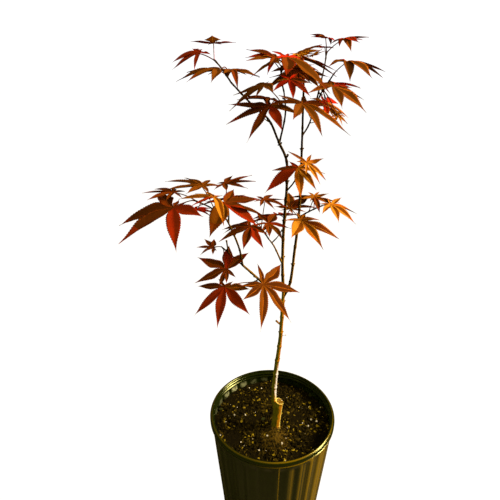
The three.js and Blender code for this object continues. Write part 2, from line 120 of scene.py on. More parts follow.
class Shader:
    """A node tree that is filled a node at a time."""

    def __init__(self, tree: bpy.types.NodeTree) -> None:
        """Keep the tree that the nodes go into."""
        self.tree = tree

    def add(self, kind: str, settings: dict | None = None, **sockets: object) -> bpy.types.Node:
        """Add a node and fill its sockets.

        Args:
            kind: The node's type.
            settings: Values of the node's own properties.
            **sockets: Input sockets by name, with underscores for spaces, each with a value
                or with the output that is linked to it.

        Returns:
            The new node.
        """
        node = self.tree.nodes.new(kind)
        for name, value in (settings or {}).items():
            setattr(node, name, value)
        for name, value in sockets.items():
            socket = node.inputs[name.replace("_", " ")]
            if isinstance(value, bpy.types.NodeSocket):
                self.tree.links.new(value, socket)
            else:
                socket.default_value = value
        return node

    def mix(self, share: object, first: object, second: object) -> bpy.types.NodeSocket:
        """Mix two colours by a share, and give the mixed colour."""
        node = self.tree.nodes.new("ShaderNodeMix")
        node.data_type = "RGBA"
        for index, value in ((0, share), (6, first), (7, second)):
            if isinstance(value, bpy.types.NodeSocket):
                self.tree.links.new(value, node.inputs[index])
            else:
                node.inputs[index].default_value = value
        return node.outputs[2]

    def maths(self, operation: str, first: object, second: object = 0.0) -> bpy.types.NodeSocket:
        """Do one sum on two values, and give its result."""
        node = self.tree.nodes.new("ShaderNodeMath")
        node.operation = operation
        for index, value in enumerate((first, second)):
            if isinstance(value, bpy.types.NodeSocket):
                self.tree.links.new(value, node.inputs[index])
            else:
                node.inputs[index].default_value = value
        return node.outputs[0]

    def ramp(self, value: bpy.types.NodeSocket, low: float, high: float) -> bpy.types.NodeSocket:
        """Spread a value from between low and high to between 0 and 1."""
        settings = {"interpolation_type": "SMOOTHSTEP", "clamp": True}
        node = self.add("ShaderNodeMapRange", settings, Value=value, From_Min=low, From_Max=high)
        return node.outputs[0]


def new_group(name: str, inputs: Sequence[tuple], outputs: Sequence[tuple]) -> tuple:
    """Start a shader node group with its sockets.

    Args:
        name: The group's name.
        inputs: Each input's name, kind and first value.
        outputs: Each output's name and kind.

    Returns:
        The group, a Shader for it, its input node and its output node.
    """
    group = bpy.data.node_groups.new(name, "ShaderNodeTree")
    for label, kind, value in inputs:
        socket = group.interface.new_socket(label, in_out="INPUT", socket_type="NodeSocket" + kind)
        socket.default_value = value
    for label, kind in outputs:
        group.interface.new_socket(label, in_out="OUTPUT", socket_type="NodeSocket" + kind)
    shader = Shader(group)
    return group, shader, shader.add("NodeGroupInput"), shader.add("NodeGroupOutput")


def mottle_group() -> bpy.types.NodeTree:
    """Build the group that blotches two colours together, with a fine grain over them."""
    group, shader, given, put = new_group(
        "mottle",
        [
            ("Vector", "Vector", (0, 0, 0)),
            ("First", "Color", (0.5, 0.5, 0.5, 1)),
            ("Second", "Color", (0.2, 0.2, 0.2, 1)),
            ("Scale", "Float", 200.0),
            ("Grain", "Float", 1500.0),
            ("Smooth", "Float", 0.4),
            ("Rough", "Float", 0.6),
        ],
        [("Color", "Color"), ("Roughness", "Float"), ("Height", "Float")],
    )
    vector = given.outputs["Vector"]
    blotch = shader.add("ShaderNodeTexNoise", Vector=vector, Scale=given.outputs["Scale"], Detail=3.0)
    grain = shader.add("ShaderNodeTexNoise", Vector=vector, Scale=given.outputs["Grain"], Detail=2.0)
    share = shader.ramp(blotch.outputs[0], 0.38, 0.62)
    fine = shader.ramp(grain.outputs[0], 0.3, 0.7)
    both = shader.maths("MULTIPLY_ADD", fine, 0.3)
    both.node.inputs[2].default_value = 0.0
    shader.tree.links.new(shader.maths("MULTIPLY", share, 0.7), both.node.inputs[2])
    colour = shader.mix(both, given.outputs["First"], given.outputs["Second"])
    settings = {"clamp": True}
    gloss = shader.add(
        "ShaderNodeMapRange",
        settings,
        Value=both,
        To_Min=given.outputs["Smooth"],
        To_Max=given.outputs["Rough"],
    )
    shader.tree.links.new(colour, put.inputs["Color"])
    shader.tree.links.new(gloss.outputs[0], put.inputs["Roughness"])
    height = shader.maths("ADD", fine, shader.maths("MULTIPLY", share, 0.6))
    shader.tree.links.new(height, put.inputs["Height"])
    return group


def speck_group() -> bpy.types.NodeTree:
    """Build the group that strews small spots, such as dust or a bark's pores."""
    group, shader, given, put = new_group(
        "specks",
        [("Vector", "Vector", (0, 0, 0)), ("Scale", "Float", 400.0), ("Size", "Float", 0.2)],
        [("Mask", "Float")],
    )
    settings = {"feature": "F1"}
    cells = shader.add(
        "ShaderNodeTexVoronoi", settings, Vector=given.outputs["Vector"], Scale=given.outputs["Scale"]
    )
    inside = shader.maths("LESS_THAN", cells.outputs["Distance"], given.outputs["Size"])
    chosen = shader.add("ShaderNodeSeparateColor", Color=cells.outputs["Color"]).outputs[0]
    few = shader.maths("GREATER_THAN", chosen, 0.55)
    shader.tree.links.new(shader.maths("MULTIPLY", inside, few), put.inputs["Mask"])
    return group


class Groups:
    """The shared node groups, each built once."""

    made: dict[str, bpy.types.NodeTree] = {}
    makers = {"mottle": mottle_group, "specks": speck_group}

    @classmethod
    def get(cls, name: str) -> bpy.types.NodeTree:
        """Give a shared group by name."""
        if name not in cls.made:
            cls.made[name] = cls.makers[name]()
        return cls.made[name]


# Finishes


@dataclass(frozen=True)
class Finish:
    """A finish of two colours that blotch together, with a gloss and a fine relief."""

    name: str
    first: Colour
    second: Colour
    smooth: float = 0.45
    rough: float = 0.65
    scale: float = 250.0
    grain: float = 1600.0
    relief: float = 0.15
    stretch: float = 1.0
    specular: float = 0.5
    sheen_tint: Colour = (255, 226, 150)
    plain: bool = False

    def material(self) -> bpy.types.Material:
        """Build the finish as a material, or give it if it is already there.

        Returns:
            The material.
        """
        known = bpy.data.materials.get(self.name)
        if known is not None:
            return known
        material = bpy.data.materials.new(self.name)
        material.use_nodes = True
        material.node_tree.nodes.clear()
        shader = Shader(material.node_tree)
        place = shader.add("ShaderNodeTexCoord").outputs["Object"]
        vector = shader.add("ShaderNodeMapping", Vector=place, Scale=(1, 1, 1 / self.stretch)).outputs[0]
        mottle = shader.add(
            "ShaderNodeGroup",
            {"node_tree": Groups.get("mottle")},
            Vector=vector,
            First=linear(self.first),
            Second=linear(self.second),
            Scale=self.scale,
            Grain=self.grain,
            Smooth=self.smooth,
            Rough=self.rough,
        )
        colour, height = self.dress(shader, place, mottle.outputs["Color"], mottle.outputs["Height"])
        bump = shader.add("ShaderNodeBump", Strength=1.0, Distance=self.relief * MM, Height=height)
        surface = shader.add(
            "ShaderNodeBsdfPrincipled",
            Roughness=mottle.outputs["Roughness"],
            Normal=bump.outputs[0],
            Specular_IOR_Level=self.specular,
            Specular_Tint=linear(self.sheen_tint),
        )
        if self.plain:
            surface.inputs["Base Color"].default_value = linear(self.first)
        else:
            shader.tree.links.new(colour, surface.inputs["Base Color"])
        end = shader.add("ShaderNodeOutputMaterial")
        shader.tree.links.new(surface.outputs[0], end.inputs[0])
        material.diffuse_color = linear(self.first)
        return material

    def dress(
        self,
        shader: Shader,
        place: bpy.types.NodeSocket,
        colour: bpy.types.NodeSocket,
        height: bpy.types.NodeSocket,
    ) -> tuple[bpy.types.NodeSocket, bpy.types.NodeSocket]:
        """Add what is special to this finish.

        Args:
            shader: The material's nodes.
            place: The object coordinates.
            colour: The blotched colour so far.
            height: The relief so far.

        Returns:
            The colour and the relief to use.
        """
        return colour, height


@dataclass(frozen=True)
class PlasticFinish(Finish):
    """Moulded plastic with upright streaks of painted sunlight where it faces the key light, painted highlights on its
    seam and lip, and salts inside.
    """

    # The golden colour of the painted sunlight and painted highlights; the salts and dust are the plastic's own.
    sunlit_paint: Colour = (140, 113, 2)
    salts: Colour = (176, 184, 136)
    dust: Colour = (84, 68, 18)
    streaks: float = 15.0
    dust_scale: float = 900.0
    dust_size: float = 0.16

    def dress(self, shader, place, colour, height):  # noqa: ANN001, ANN201
        """Add painted sunlight in streaks, painted highlights, salts and dust; see Finish.dress for its Args and
        Returns.
        """
        flat = shader.add("ShaderNodeMapping", Vector=place, Scale=(1, 1, 0)).outputs[0]
        way = shader.add("ShaderNodeVectorMath", {"operation": "NORMALIZE"}, Vector=flat).outputs[0]
        streak = shader.add("ShaderNodeTexNoise", Vector=way, Scale=self.streaks, Detail=1.0).outputs[0]
        sun_paint_level = shader.add("ShaderNodeAttribute", {"attribute_name": "weather"}).outputs["Fac"]
        # Painted sunlight: golden in upright streaks where the pot faces the key light.
        sunlit_paint = shader.maths("MULTIPLY", sun_paint_level, shader.ramp(streak, 0.36, 0.62))
        # A share below nought paints an even highlight, as on the seam and the lip.
        sunlit_paint = shader.maths("MAXIMUM", sunlit_paint, shader.maths("MULTIPLY", sun_paint_level, -1.0))
        colour = shader.mix(sunlit_paint, colour, linear(self.sunlit_paint))
        crust = shader.add("ShaderNodeAttribute", {"attribute_name": "salts"}).outputs["Fac"]
        cloud = shader.add("ShaderNodeTexNoise", Vector=place, Scale=260.0, Detail=3.0).outputs[0]
        crust = shader.maths("MULTIPLY", crust, shader.ramp(cloud, 0.3, 0.6))
        colour = shader.mix(crust, colour, linear(self.salts))
        specks = shader.add(
            "ShaderNodeGroup",
            {"node_tree": Groups.get("specks")},
            Vector=place,
            Scale=self.dust_scale,
            Size=self.dust_size,
        ).outputs[0]
        dusty = shader.mix(shader.maths("MULTIPLY", specks, 0.25), colour, linear(self.dust))
        return dusty, shader.maths("ADD", height, shader.maths("MULTIPLY", streak, 1.2))


@dataclass(frozen=True)
class BarkFinish(Finish):
    """Bark with a dark top and pale pores, painted sunlight on the side that faces the key light, and a painted white
    highlight along that side, widest by the graft.
    """

    top_first: Colour = (32, 20, 3)
    top_second: Colour = (12, 8, 1)
    turn_low: float = 400.0
    turn_high: float = 500.0
    # Heights, colours and span of the painted highlight and the painted sunlight on the side that faces the key light.
    highlight_heights: tuple[float, ...] = (197.0, 206.0, 242.0, 262.0)
    painted_highlight: Colour = (255, 255, 255)
    stock_painted_highlight: Colour = (255, 236, 120)
    stock_top: tuple[float, float] = (200.0, 212.0)
    sunlit_paint_span: tuple[float, float] = (0.02, 0.16)
    sunlit_paint: Colour = (200, 132, 14)
    top_sunlit_paint: Colour = (74, 50, 8)
    pore: Colour = (196, 150, 70)
    pore_scale: float = 520.0
    pore_size: float = 0.2

    def dress(self, shader, place, colour, height):  # noqa: ANN001, ANN201
        """Add the turn of colour, the painted sunlight and highlight, and the pores; see Finish.dress for its Args and
        Returns.
        """
        z = shader.add("ShaderNodeSeparateXYZ", Vector=place).outputs[2]
        up = shader.ramp(z, self.turn_low * MM, self.turn_high * MM)
        cloud = shader.add("ShaderNodeTexNoise", Vector=place, Scale=300.0, Detail=3.0).outputs[0]
        top = shader.mix(shader.ramp(cloud, 0.4, 0.6), linear(self.top_first), linear(self.top_second))
        colour = shader.mix(up, colour, top)
        # Painted sunlight on the side that faces the key light.
        sunlit_paint = shader.mix(up, linear(self.sunlit_paint), linear(self.top_sunlit_paint))
        sun_paint_level = shader.add("ShaderNodeAttribute", {"attribute_name": "weather"}).outputs["Fac"]
        colour = shader.mix(shader.ramp(sun_paint_level, *self.sunlit_paint_span), colour, sunlit_paint)
        # A painted white highlight along that side, reaching further round above the graft and ending below the fork;
        # yellow on the rootstock.
        low, full, waning, over = (height * MM for height in self.highlight_heights)
        graft_highlight_boost = shader.maths("MULTIPLY", shader.ramp(z, low, full), 0.48)
        pale = shader.ramp(shader.maths("ADD", sun_paint_level, graft_highlight_boost), 0.6, 0.8)
        below = shader.maths("SUBTRACT", 1.0, shader.ramp(z, waning, over))
        low, full = (height * MM for height in self.stock_top)
        painted_highlight = shader.mix(shader.ramp(z, low, full), linear(self.stock_painted_highlight), linear(self.painted_highlight))
        colour = shader.mix(shader.maths("MULTIPLY", pale, below), colour, painted_highlight)
        flat = shader.add("ShaderNodeMapping", Vector=place, Scale=(1, 1, 1.8)).outputs[0]
        pores = shader.add(
            "ShaderNodeGroup",
            {"node_tree": Groups.get("specks")},
            Vector=flat,
            Scale=self.pore_scale,
            Size=self.pore_size,
        ).outputs[0]
        colour = shader.mix(shader.maths("MULTIPLY", pores, 0.7), colour, linear(self.pore))
        return colour, shader.maths("ADD", height, pores)


@dataclass(frozen=True)
class CutWoodFinish(Finish):
    """A cut end of wood, with its growth rings round a centre."""

    centre: Place = (9.0, -10.0, 196.0)
    ring: Colour = (150, 92, 8)
    sap: Colour = (255, 246, 226)
    rings_scale: float = 620.0

    def dress(self, shader, place, colour, height):  # noqa: ANN001, ANN201
        """Add the rings; see Finish.dress for its Args and Returns."""
        middle = tuple(-value * MM for value in self.centre)
        vector = shader.add("ShaderNodeMapping", Vector=place, Location=middle).outputs[0]
        settings = {"wave_type": "RINGS", "rings_direction": "Z"}
        wave = shader.add(
            "ShaderNodeTexWave",
            settings,
            Vector=vector,
            Scale=self.rings_scale,
            Distortion=1.5,
            Detail_Scale=200.0,
        )
        share = shader.maths("MULTIPLY", wave.outputs["Fac"], 0.7)
        ringed = shader.mix(share, colour, linear(self.ring))
        sap = shader.add(
            "ShaderNodeGroup", {"node_tree": Groups.get("specks")}, Vector=place, Scale=420.0, Size=0.27
        ).outputs[0]
        ringed = shader.mix(sap, ringed, linear(self.sap))
        return ringed, shader.maths("ADD", height, wave.outputs["Fac"])


POT_PLASTIC = PlasticFinish(
    "moulded_plastic",
    (22, 31, 1),
    (17, 24, 1),
    0.1,
    0.2,
    scale=90,
    grain=1400,
    relief=0.02,
    specular=0.7,
    sheen_tint=(226, 240, 150),
)
SOIL_DARK = Finish("soil_dark", (7, 8, 1), (24, 20, 2), 0.85, 1.0, 320, 2200, 0.6, specular=0.2)
CRUMB = Finish("soil_crumb", (10, 10, 1), (38, 32, 3), 0.8, 1.0, 260, 1800, 0.3, specular=0.2)
CHIP_BROWN = Finish("chip_brown", (84, 70, 8), (24, 21, 2), 0.7, 0.95, 420, 2600, 0.25, specular=0.25)
CHIP_GOLD = Finish("chip_gold", (178, 154, 20), (112, 96, 10), 0.55, 0.85, 500, 2600, 0.25)
PERLITE = Finish("perlite", (255, 252, 240), (226, 220, 196), 0.6, 0.9, 900, 3600, 0.3)
MOSS = Finish("moss", (44, 58, 14), (22, 34, 6), 0.7, 0.95, 600, 3000, 0.2)
FIBRE = Finish("root_fibre", (112, 88, 13), (66, 52, 6), 0.75, 0.95, 500, 2600, 0.15)
BARK = BarkFinish(
    "trunk_bark", (124, 122, 20), (84, 84, 9), 0.3, 0.5, scale=330, grain=1500, relief=0.35, stretch=3.0
)
YOUNG_BARK = BarkFinish(
    "limb_bark",
    (62, 46, 7),
    (30, 22, 3),
    0.28,
    0.46,
    scale=330,
    grain=1700,
    relief=0.2,
    stretch=3.0,
    # The limbs' painted sunlight on the side that faces the key light.
    sunlit_paint_span=(0.19, 0.59),
    sunlit_paint=(170, 126, 34),
)
CUT_WOOD = CutWoodFinish("cut_wood", (156, 136, 22), (58, 56, 6), 0.6, 0.85, 500, 2400, 0.25)
BUD = Finish("bud", (96, 34, 12), (54, 20, 8), 0.4, 0.6, 700, 3000, 0.1)
STALK_RED = Finish("stalk_red", (128, 44, 20), (84, 30, 10), 0.4, 0.55, 420, 2600, 0.08)
STALK_PALE = Finish("stalk_pale", (226, 200, 236), (196, 166, 206), 0.4, 0.55, 420, 2600, 0.08)
STALK_DARK = Finish("stalk_dark", (44, 24, 10), (24, 14, 6), 0.45, 0.6, 420, 2600, 0.1)


class Tint(Enum):
    """The autumn tints, from the darkest to the brightest."""

    OLIVE_BLACK = (100, 54, 5)
    OLIVE = (106, 57, 5)
    OLIVE_BROWN = (120, 64, 6)
    DUSK = (84, 39, 4)
    UMBER = (116, 50, 5)
    MAROON = (134, 40, 5)
    BRICK = (150, 38, 5)
    SCARLET = (196, 38, 6)
    CHESTNUT = (122, 56, 5)
    COPPER = (130, 68, 6)
    AMBER = (176, 92, 8)
    GOLD = (198, 128, 30)

    def material(self) -> bpy.types.Material:
        """Give the tint's leaf material: one plain colour with a varied gloss and a fine relief."""
        finish = Finish(
            "leaf_" + self.name.lower(),
            self.value,
            self.value,
            smooth=0.5,
            rough=0.7,
            scale=350,
            grain=2200,
            relief=0.05,
            specular=0.05,
            sheen_tint=(255, 150, 30),
            plain=True,
        )
        return finish.material()


class Dress(Enum):
    """What a leaf wears: painted-shade, middle and painted-sunlight tints, then those of rim, ribs and tips; the rim is
    partly a painted edge highlight.
    """

    OLIVE = (Tint.OLIVE_BLACK, Tint.OLIVE, Tint.OLIVE_BROWN, Tint.COPPER, Tint.COPPER, Tint.UMBER)
    DUSKY = (Tint.DUSK, Tint.DUSK, Tint.UMBER, Tint.UMBER, Tint.MAROON, Tint.MAROON)
    DARK = (Tint.DUSK, Tint.UMBER, Tint.CHESTNUT, Tint.MAROON, Tint.COPPER, Tint.MAROON)
    TAWNY = (Tint.DUSK, Tint.DUSK, Tint.OLIVE_BROWN, Tint.COPPER, Tint.AMBER, Tint.UMBER)
    MAROON = (Tint.MAROON, Tint.MAROON, Tint.BRICK, Tint.BRICK, Tint.BRICK, Tint.BRICK)
    RED = (Tint.BRICK, Tint.SCARLET, Tint.SCARLET, Tint.SCARLET, Tint.SCARLET, Tint.BRICK)
    BROWN = (Tint.OLIVE_BLACK, Tint.OLIVE, Tint.COPPER, Tint.AMBER, Tint.AMBER, Tint.COPPER)
    ORANGE = (Tint.OLIVE, Tint.UMBER, Tint.AMBER, Tint.GOLD, Tint.GOLD, Tint.COPPER)
    AMBER = (Tint.COPPER, Tint.AMBER, Tint.GOLD, Tint.GOLD, Tint.GOLD, Tint.AMBER)


# Working on objects


def deselect() -> None:
    """Leave nothing selected."""
    for obj in bpy.context.selected_objects:
        obj.select_set(False)
    bpy.context.view_layer.objects.active = None


def only(obj: Object) -> None:
    """Make one object the only selected one, and the active one."""
    deselect()
    obj.select_set(True)
    bpy.context.view_layer.objects.active = obj


@contextmanager
def editing(obj: Object, mode: str = "VERT") -> Iterator[None]:
    """Hold an object in edit mode with nothing in it selected.

    Args:
        obj: The object.
        mode: What is selected in it: VERT, EDGE or FACE.
    """
    only(obj)
    bpy.ops.object.mode_set(mode="EDIT")
    bpy.ops.mesh.select_mode(type=mode)
    bpy.ops.mesh.select_all(action="DESELECT")
    yield
    bpy.ops.object.mode_set(mode="OBJECT")


def select_vertices(obj: Object, wanted: Callable[[np.ndarray], np.ndarray]) -> int:
    """Select the vertices that a test on their places picks, in edit mode.

    Args:
        obj: The object in edit mode.
        wanted: Takes the places in millimetres, and gives which ones are wanted.

    Returns:
        How many were selected.
    """
    shape = bmesh.from_edit_mesh(obj.data)
    places = np.array([vertex.co for vertex in shape.verts]) / MM
    chosen = wanted(places)
    for vertex, pick in zip(shape.verts, chosen):
        vertex.select = bool(pick)
    shape.select_flush(True)
    shape.select_flush(False)
    bmesh.update_edit_mesh(obj.data)
    return int(chosen.sum())


def modify(obj: Object, kind: str, **settings: object) -> None:
    """Add a modifier to an object and apply it.

    Args:
        obj: The object.
        kind: The modifier's type.
        **settings: Its settings.
    """
    only(obj)
    modifier = obj.modifiers.new(kind.lower(), kind)
    for name, value in settings.items():
        setattr(modifier, name, value)
    bpy.ops.object.modifier_apply(modifier=modifier.name)


def joined(name: str, objects: Sequence[Object]) -> Object:
    """Join objects into one, under a new name."""
    deselect()
    for obj in objects:
        obj.select_set(True)
    bpy.context.view_layer.objects.active = objects[0]
    bpy.ops.object.join()
    objects[0].name = name
    objects[0].data.name = name
    return objects[0]


@dataclass
class Mesh:
    """Triangles gathered from many small things, with a material number for each."""

    places: list[np.ndarray] = field(default_factory=list)
    faces: list[np.ndarray] = field(default_factory=list)
    tints: list[np.ndarray] = field(default_factory=list)
    count: int = 0

    def add(self, places: np.ndarray, faces: np.ndarray, tints: np.ndarray | int = 0) -> None:
        """Add one thing.

        Args:
            places: Its vertices, in millimetres.
            faces: Its triangles, as rows of three vertex numbers of its own.
            tints: The material number of each triangle, or one for all.
        """
        self.places.append(places)
        self.faces.append(faces + self.count)
        self.tints.append(np.broadcast_to(np.asarray(tints), (len(faces),)))
        self.count += len(places)

    def build(self, name: str, materials: Sequence[bpy.types.Material], smooth: bool = True) -> Object:
        """Make the object that holds all that was added.

        Args:
            name: The object's name.
            materials: Its materials.
            smooth: Whether its shading runs smoothly over its edges.

        Returns:
            The new object.
        """
        places = np.concatenate(self.places) * MM
        faces = np.concatenate(self.faces)
        mesh = bpy.data.meshes.new(name)
        mesh.vertices.add(len(places))
        mesh.vertices.foreach_set("co", places.astype(np.float32).ravel())
        mesh.loops.add(faces.size)
        mesh.loops.foreach_set("vertex_index", faces.astype(np.int32).ravel())
        mesh.polygons.add(len(faces))
        mesh.polygons.foreach_set("loop_start", np.arange(0, faces.size, 3, dtype=np.int32))
        mesh.polygons.foreach_set("loop_total", np.full(len(faces), 3, dtype=np.int32))
        mesh.polygons.foreach_set("material_index", np.concatenate(self.tints).astype(np.int32))
        mesh.polygons.foreach_set("use_smooth", np.full(len(faces), smooth))
        for material in materials:
            mesh.materials.append(material)
        mesh.update(calc_edges=True)
        mesh.validate()
        obj = bpy.data.objects.new(name, mesh)
        bpy.context.scene.collection.objects.link(obj)
        return obj


def weather(obj: Object, low: float, high: float) -> np.ndarray:
    """Tell how far each vertex faces the key light, for finishes that paint sunlight on that side.

    Args:
        obj: The object.
        low: The facing, from -1 to 1, up to which no sunlight is painted.
        high: The facing from which sunlight is painted in full.

    Returns:
        Each vertex's share of painted sunlight.
    """
    normals = np.zeros(len(obj.data.vertices) * 3, np.float32)
    obj.data.vertex_normals.foreach_get("vector", normals)
    facing = normals.reshape(-1, 3) @ (np.array(SUN_DIRECTION) / np.linalg.norm(SUN_DIRECTION))
    share = np.clip((facing - low) / (high - low), 0, 1)
    return share * share * (3 - 2 * share)


def mark(obj: Object, name: str, values: np.ndarray) -> None:
    """Keep a number for each vertex of an object, for its finish to read."""
    attribute = obj.data.attributes.new(name, "FLOAT", "POINT")
    attribute.data.foreach_set("value", values.astype(np.float32))


def settle(obj: Object, slot: str, replaces: Sequence[str] = ()) -> Object:
    """Let a finished piece ride on the part, and report it.

    Args:
        obj: The piece.
        slot: The record's material slot for its finish; not used.
        replaces: The nodes that it stands for.

    Returns:
        The piece.
    """
    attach(obj, BODY)
    if replaces:
        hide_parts(*replaces)
    LOG.info("%s: %d faces", obj.name, len(obj.data.polygons))
    return obj


# Curves


class Curve:
    """A smooth curve through a few places, as the part's limbs run."""

    DIVISIONS = 60

    def __init__(self, points: Sequence[Sequence[float]]) -> None:
        """Trace the curve through the points, which are in millimetres."""
        self.points = np.array(points, float)
        shares = np.linspace(0, 1, self.DIVISIONS * (len(points) - 1) + 1)
        self.trace = np.array([self.spot(share) for share in shares])
        steps = np.linalg.norm(np.diff(self.trace, axis=0), axis=1)
        self.lengths = np.concatenate([[0], np.cumsum(steps)])

    def spot(self, share: float) -> np.ndarray:
        """Give the place at a share of the way, counted evenly between points."""
        points = self.points
        last = len(points) - 1
        index = min(int(share * last), last - 1)
        weight = share * last - index
        before = points[index - 1] if index > 0 else 2 * points[0] - points[1]
        here, there = points[index], points[index + 1]
        after = points[index + 2] if index + 2 <= last else 2 * points[last] - points[last - 1]
        gaps = [math.sqrt(np.linalg.norm(b - a)) for a, b in ((before, here), (here, there), (there, after))]
        leave = (here - before) / gaps[0] - (there - before) / (gaps[0] + gaps[1]) + (there - here) / gaps[1]
        reach = (there - here) / gaps[1] - (after - here) / (gaps[1] + gaps[2]) + (after - there) / gaps[2]
        leave, reach = leave * gaps[1], reach * gaps[1]
        square = -3 * here + 3 * there - 2 * leave - reach
        cube = 2 * here - 2 * there + leave + reach
        return here + leave * weight + square * weight**2 + cube * weight**3

    def at(self, share: float | np.ndarray) -> np.ndarray:
        """Give the place, or places, at a share of the curve's length."""
        along = np.asarray(share) * self.lengths[-1]
        return np.stack([np.interp(along, self.lengths, self.trace[:, axis]) for axis in range(3)], -1)

    def at_height(self, height: float, steps: int = 100) -> np.ndarray:
        """Give the first of the curve's even steps that reaches a height."""
        spaced = self.at(np.linspace(0, 1, steps + 1))
        return spaced[np.argmax(spaced[:, 2] >= height)]

    @property
    def length(self) -> float:
        """The curve's length in millimetres."""
        return float(self.lengths[-1])


def rooted(carrier: Curve, height: float | None, path: Sequence[Place]) -> Curve:
    """Run a curve from its carrier, at a height or at its tip, through places of its own."""
    start = carrier.at(1.0) if height is None else carrier.at_height(height)
    return Curve([start, *path])


def tube(points: np.ndarray, radii: np.ndarray, sides: int) -> tuple[np.ndarray, np.ndarray]:
    """Make a closed round tube along points.

    Args:
        points: The centres of its rings, in millimetres.
        radii: The radius of each ring.
        sides: How many sides it has.

    Returns:
        Its vertices and its triangles.
    """
    ways = np.gradient(points, axis=0)
    ways /= np.linalg.norm(ways, axis=1)[:, None]
    first = np.cross(ways[0], (0.3, 1.0, 0.1))
    side = first / np.linalg.norm(first)
    turns = np.linspace(0, 2 * math.pi, sides, endpoint=False)
    rings = []
    for way, centre, radius in zip(ways, points, radii):
        side = side - way * side.dot(way)
        side /= np.linalg.norm(side)
        other = np.cross(way, side)
        ring = np.outer(np.cos(turns), side) + np.outer(np.sin(turns), other)
        rings.append(centre + radius * ring)
    count = len(points)
    places = np.concatenate([*rings, points[:1], points[-1:]])
    low = np.arange(sides)
    high = (low + 1) % sides
    faces = []
    for step in range(count - 1):
        base, top = step * sides, (step + 1) * sides
        faces.append(np.stack([base + low, base + high, top + high], 1))
        faces.append(np.stack([base + low, top + high, top + low], 1))
    last = (count - 1) * sides
    faces.append(np.stack([np.full(sides, count * sides), high, low], 1))
    faces.append(np.stack([np.full(sides, count * sides + 1), last + low, last + high], 1))
    return places, np.concatenate(faces)


# The pot


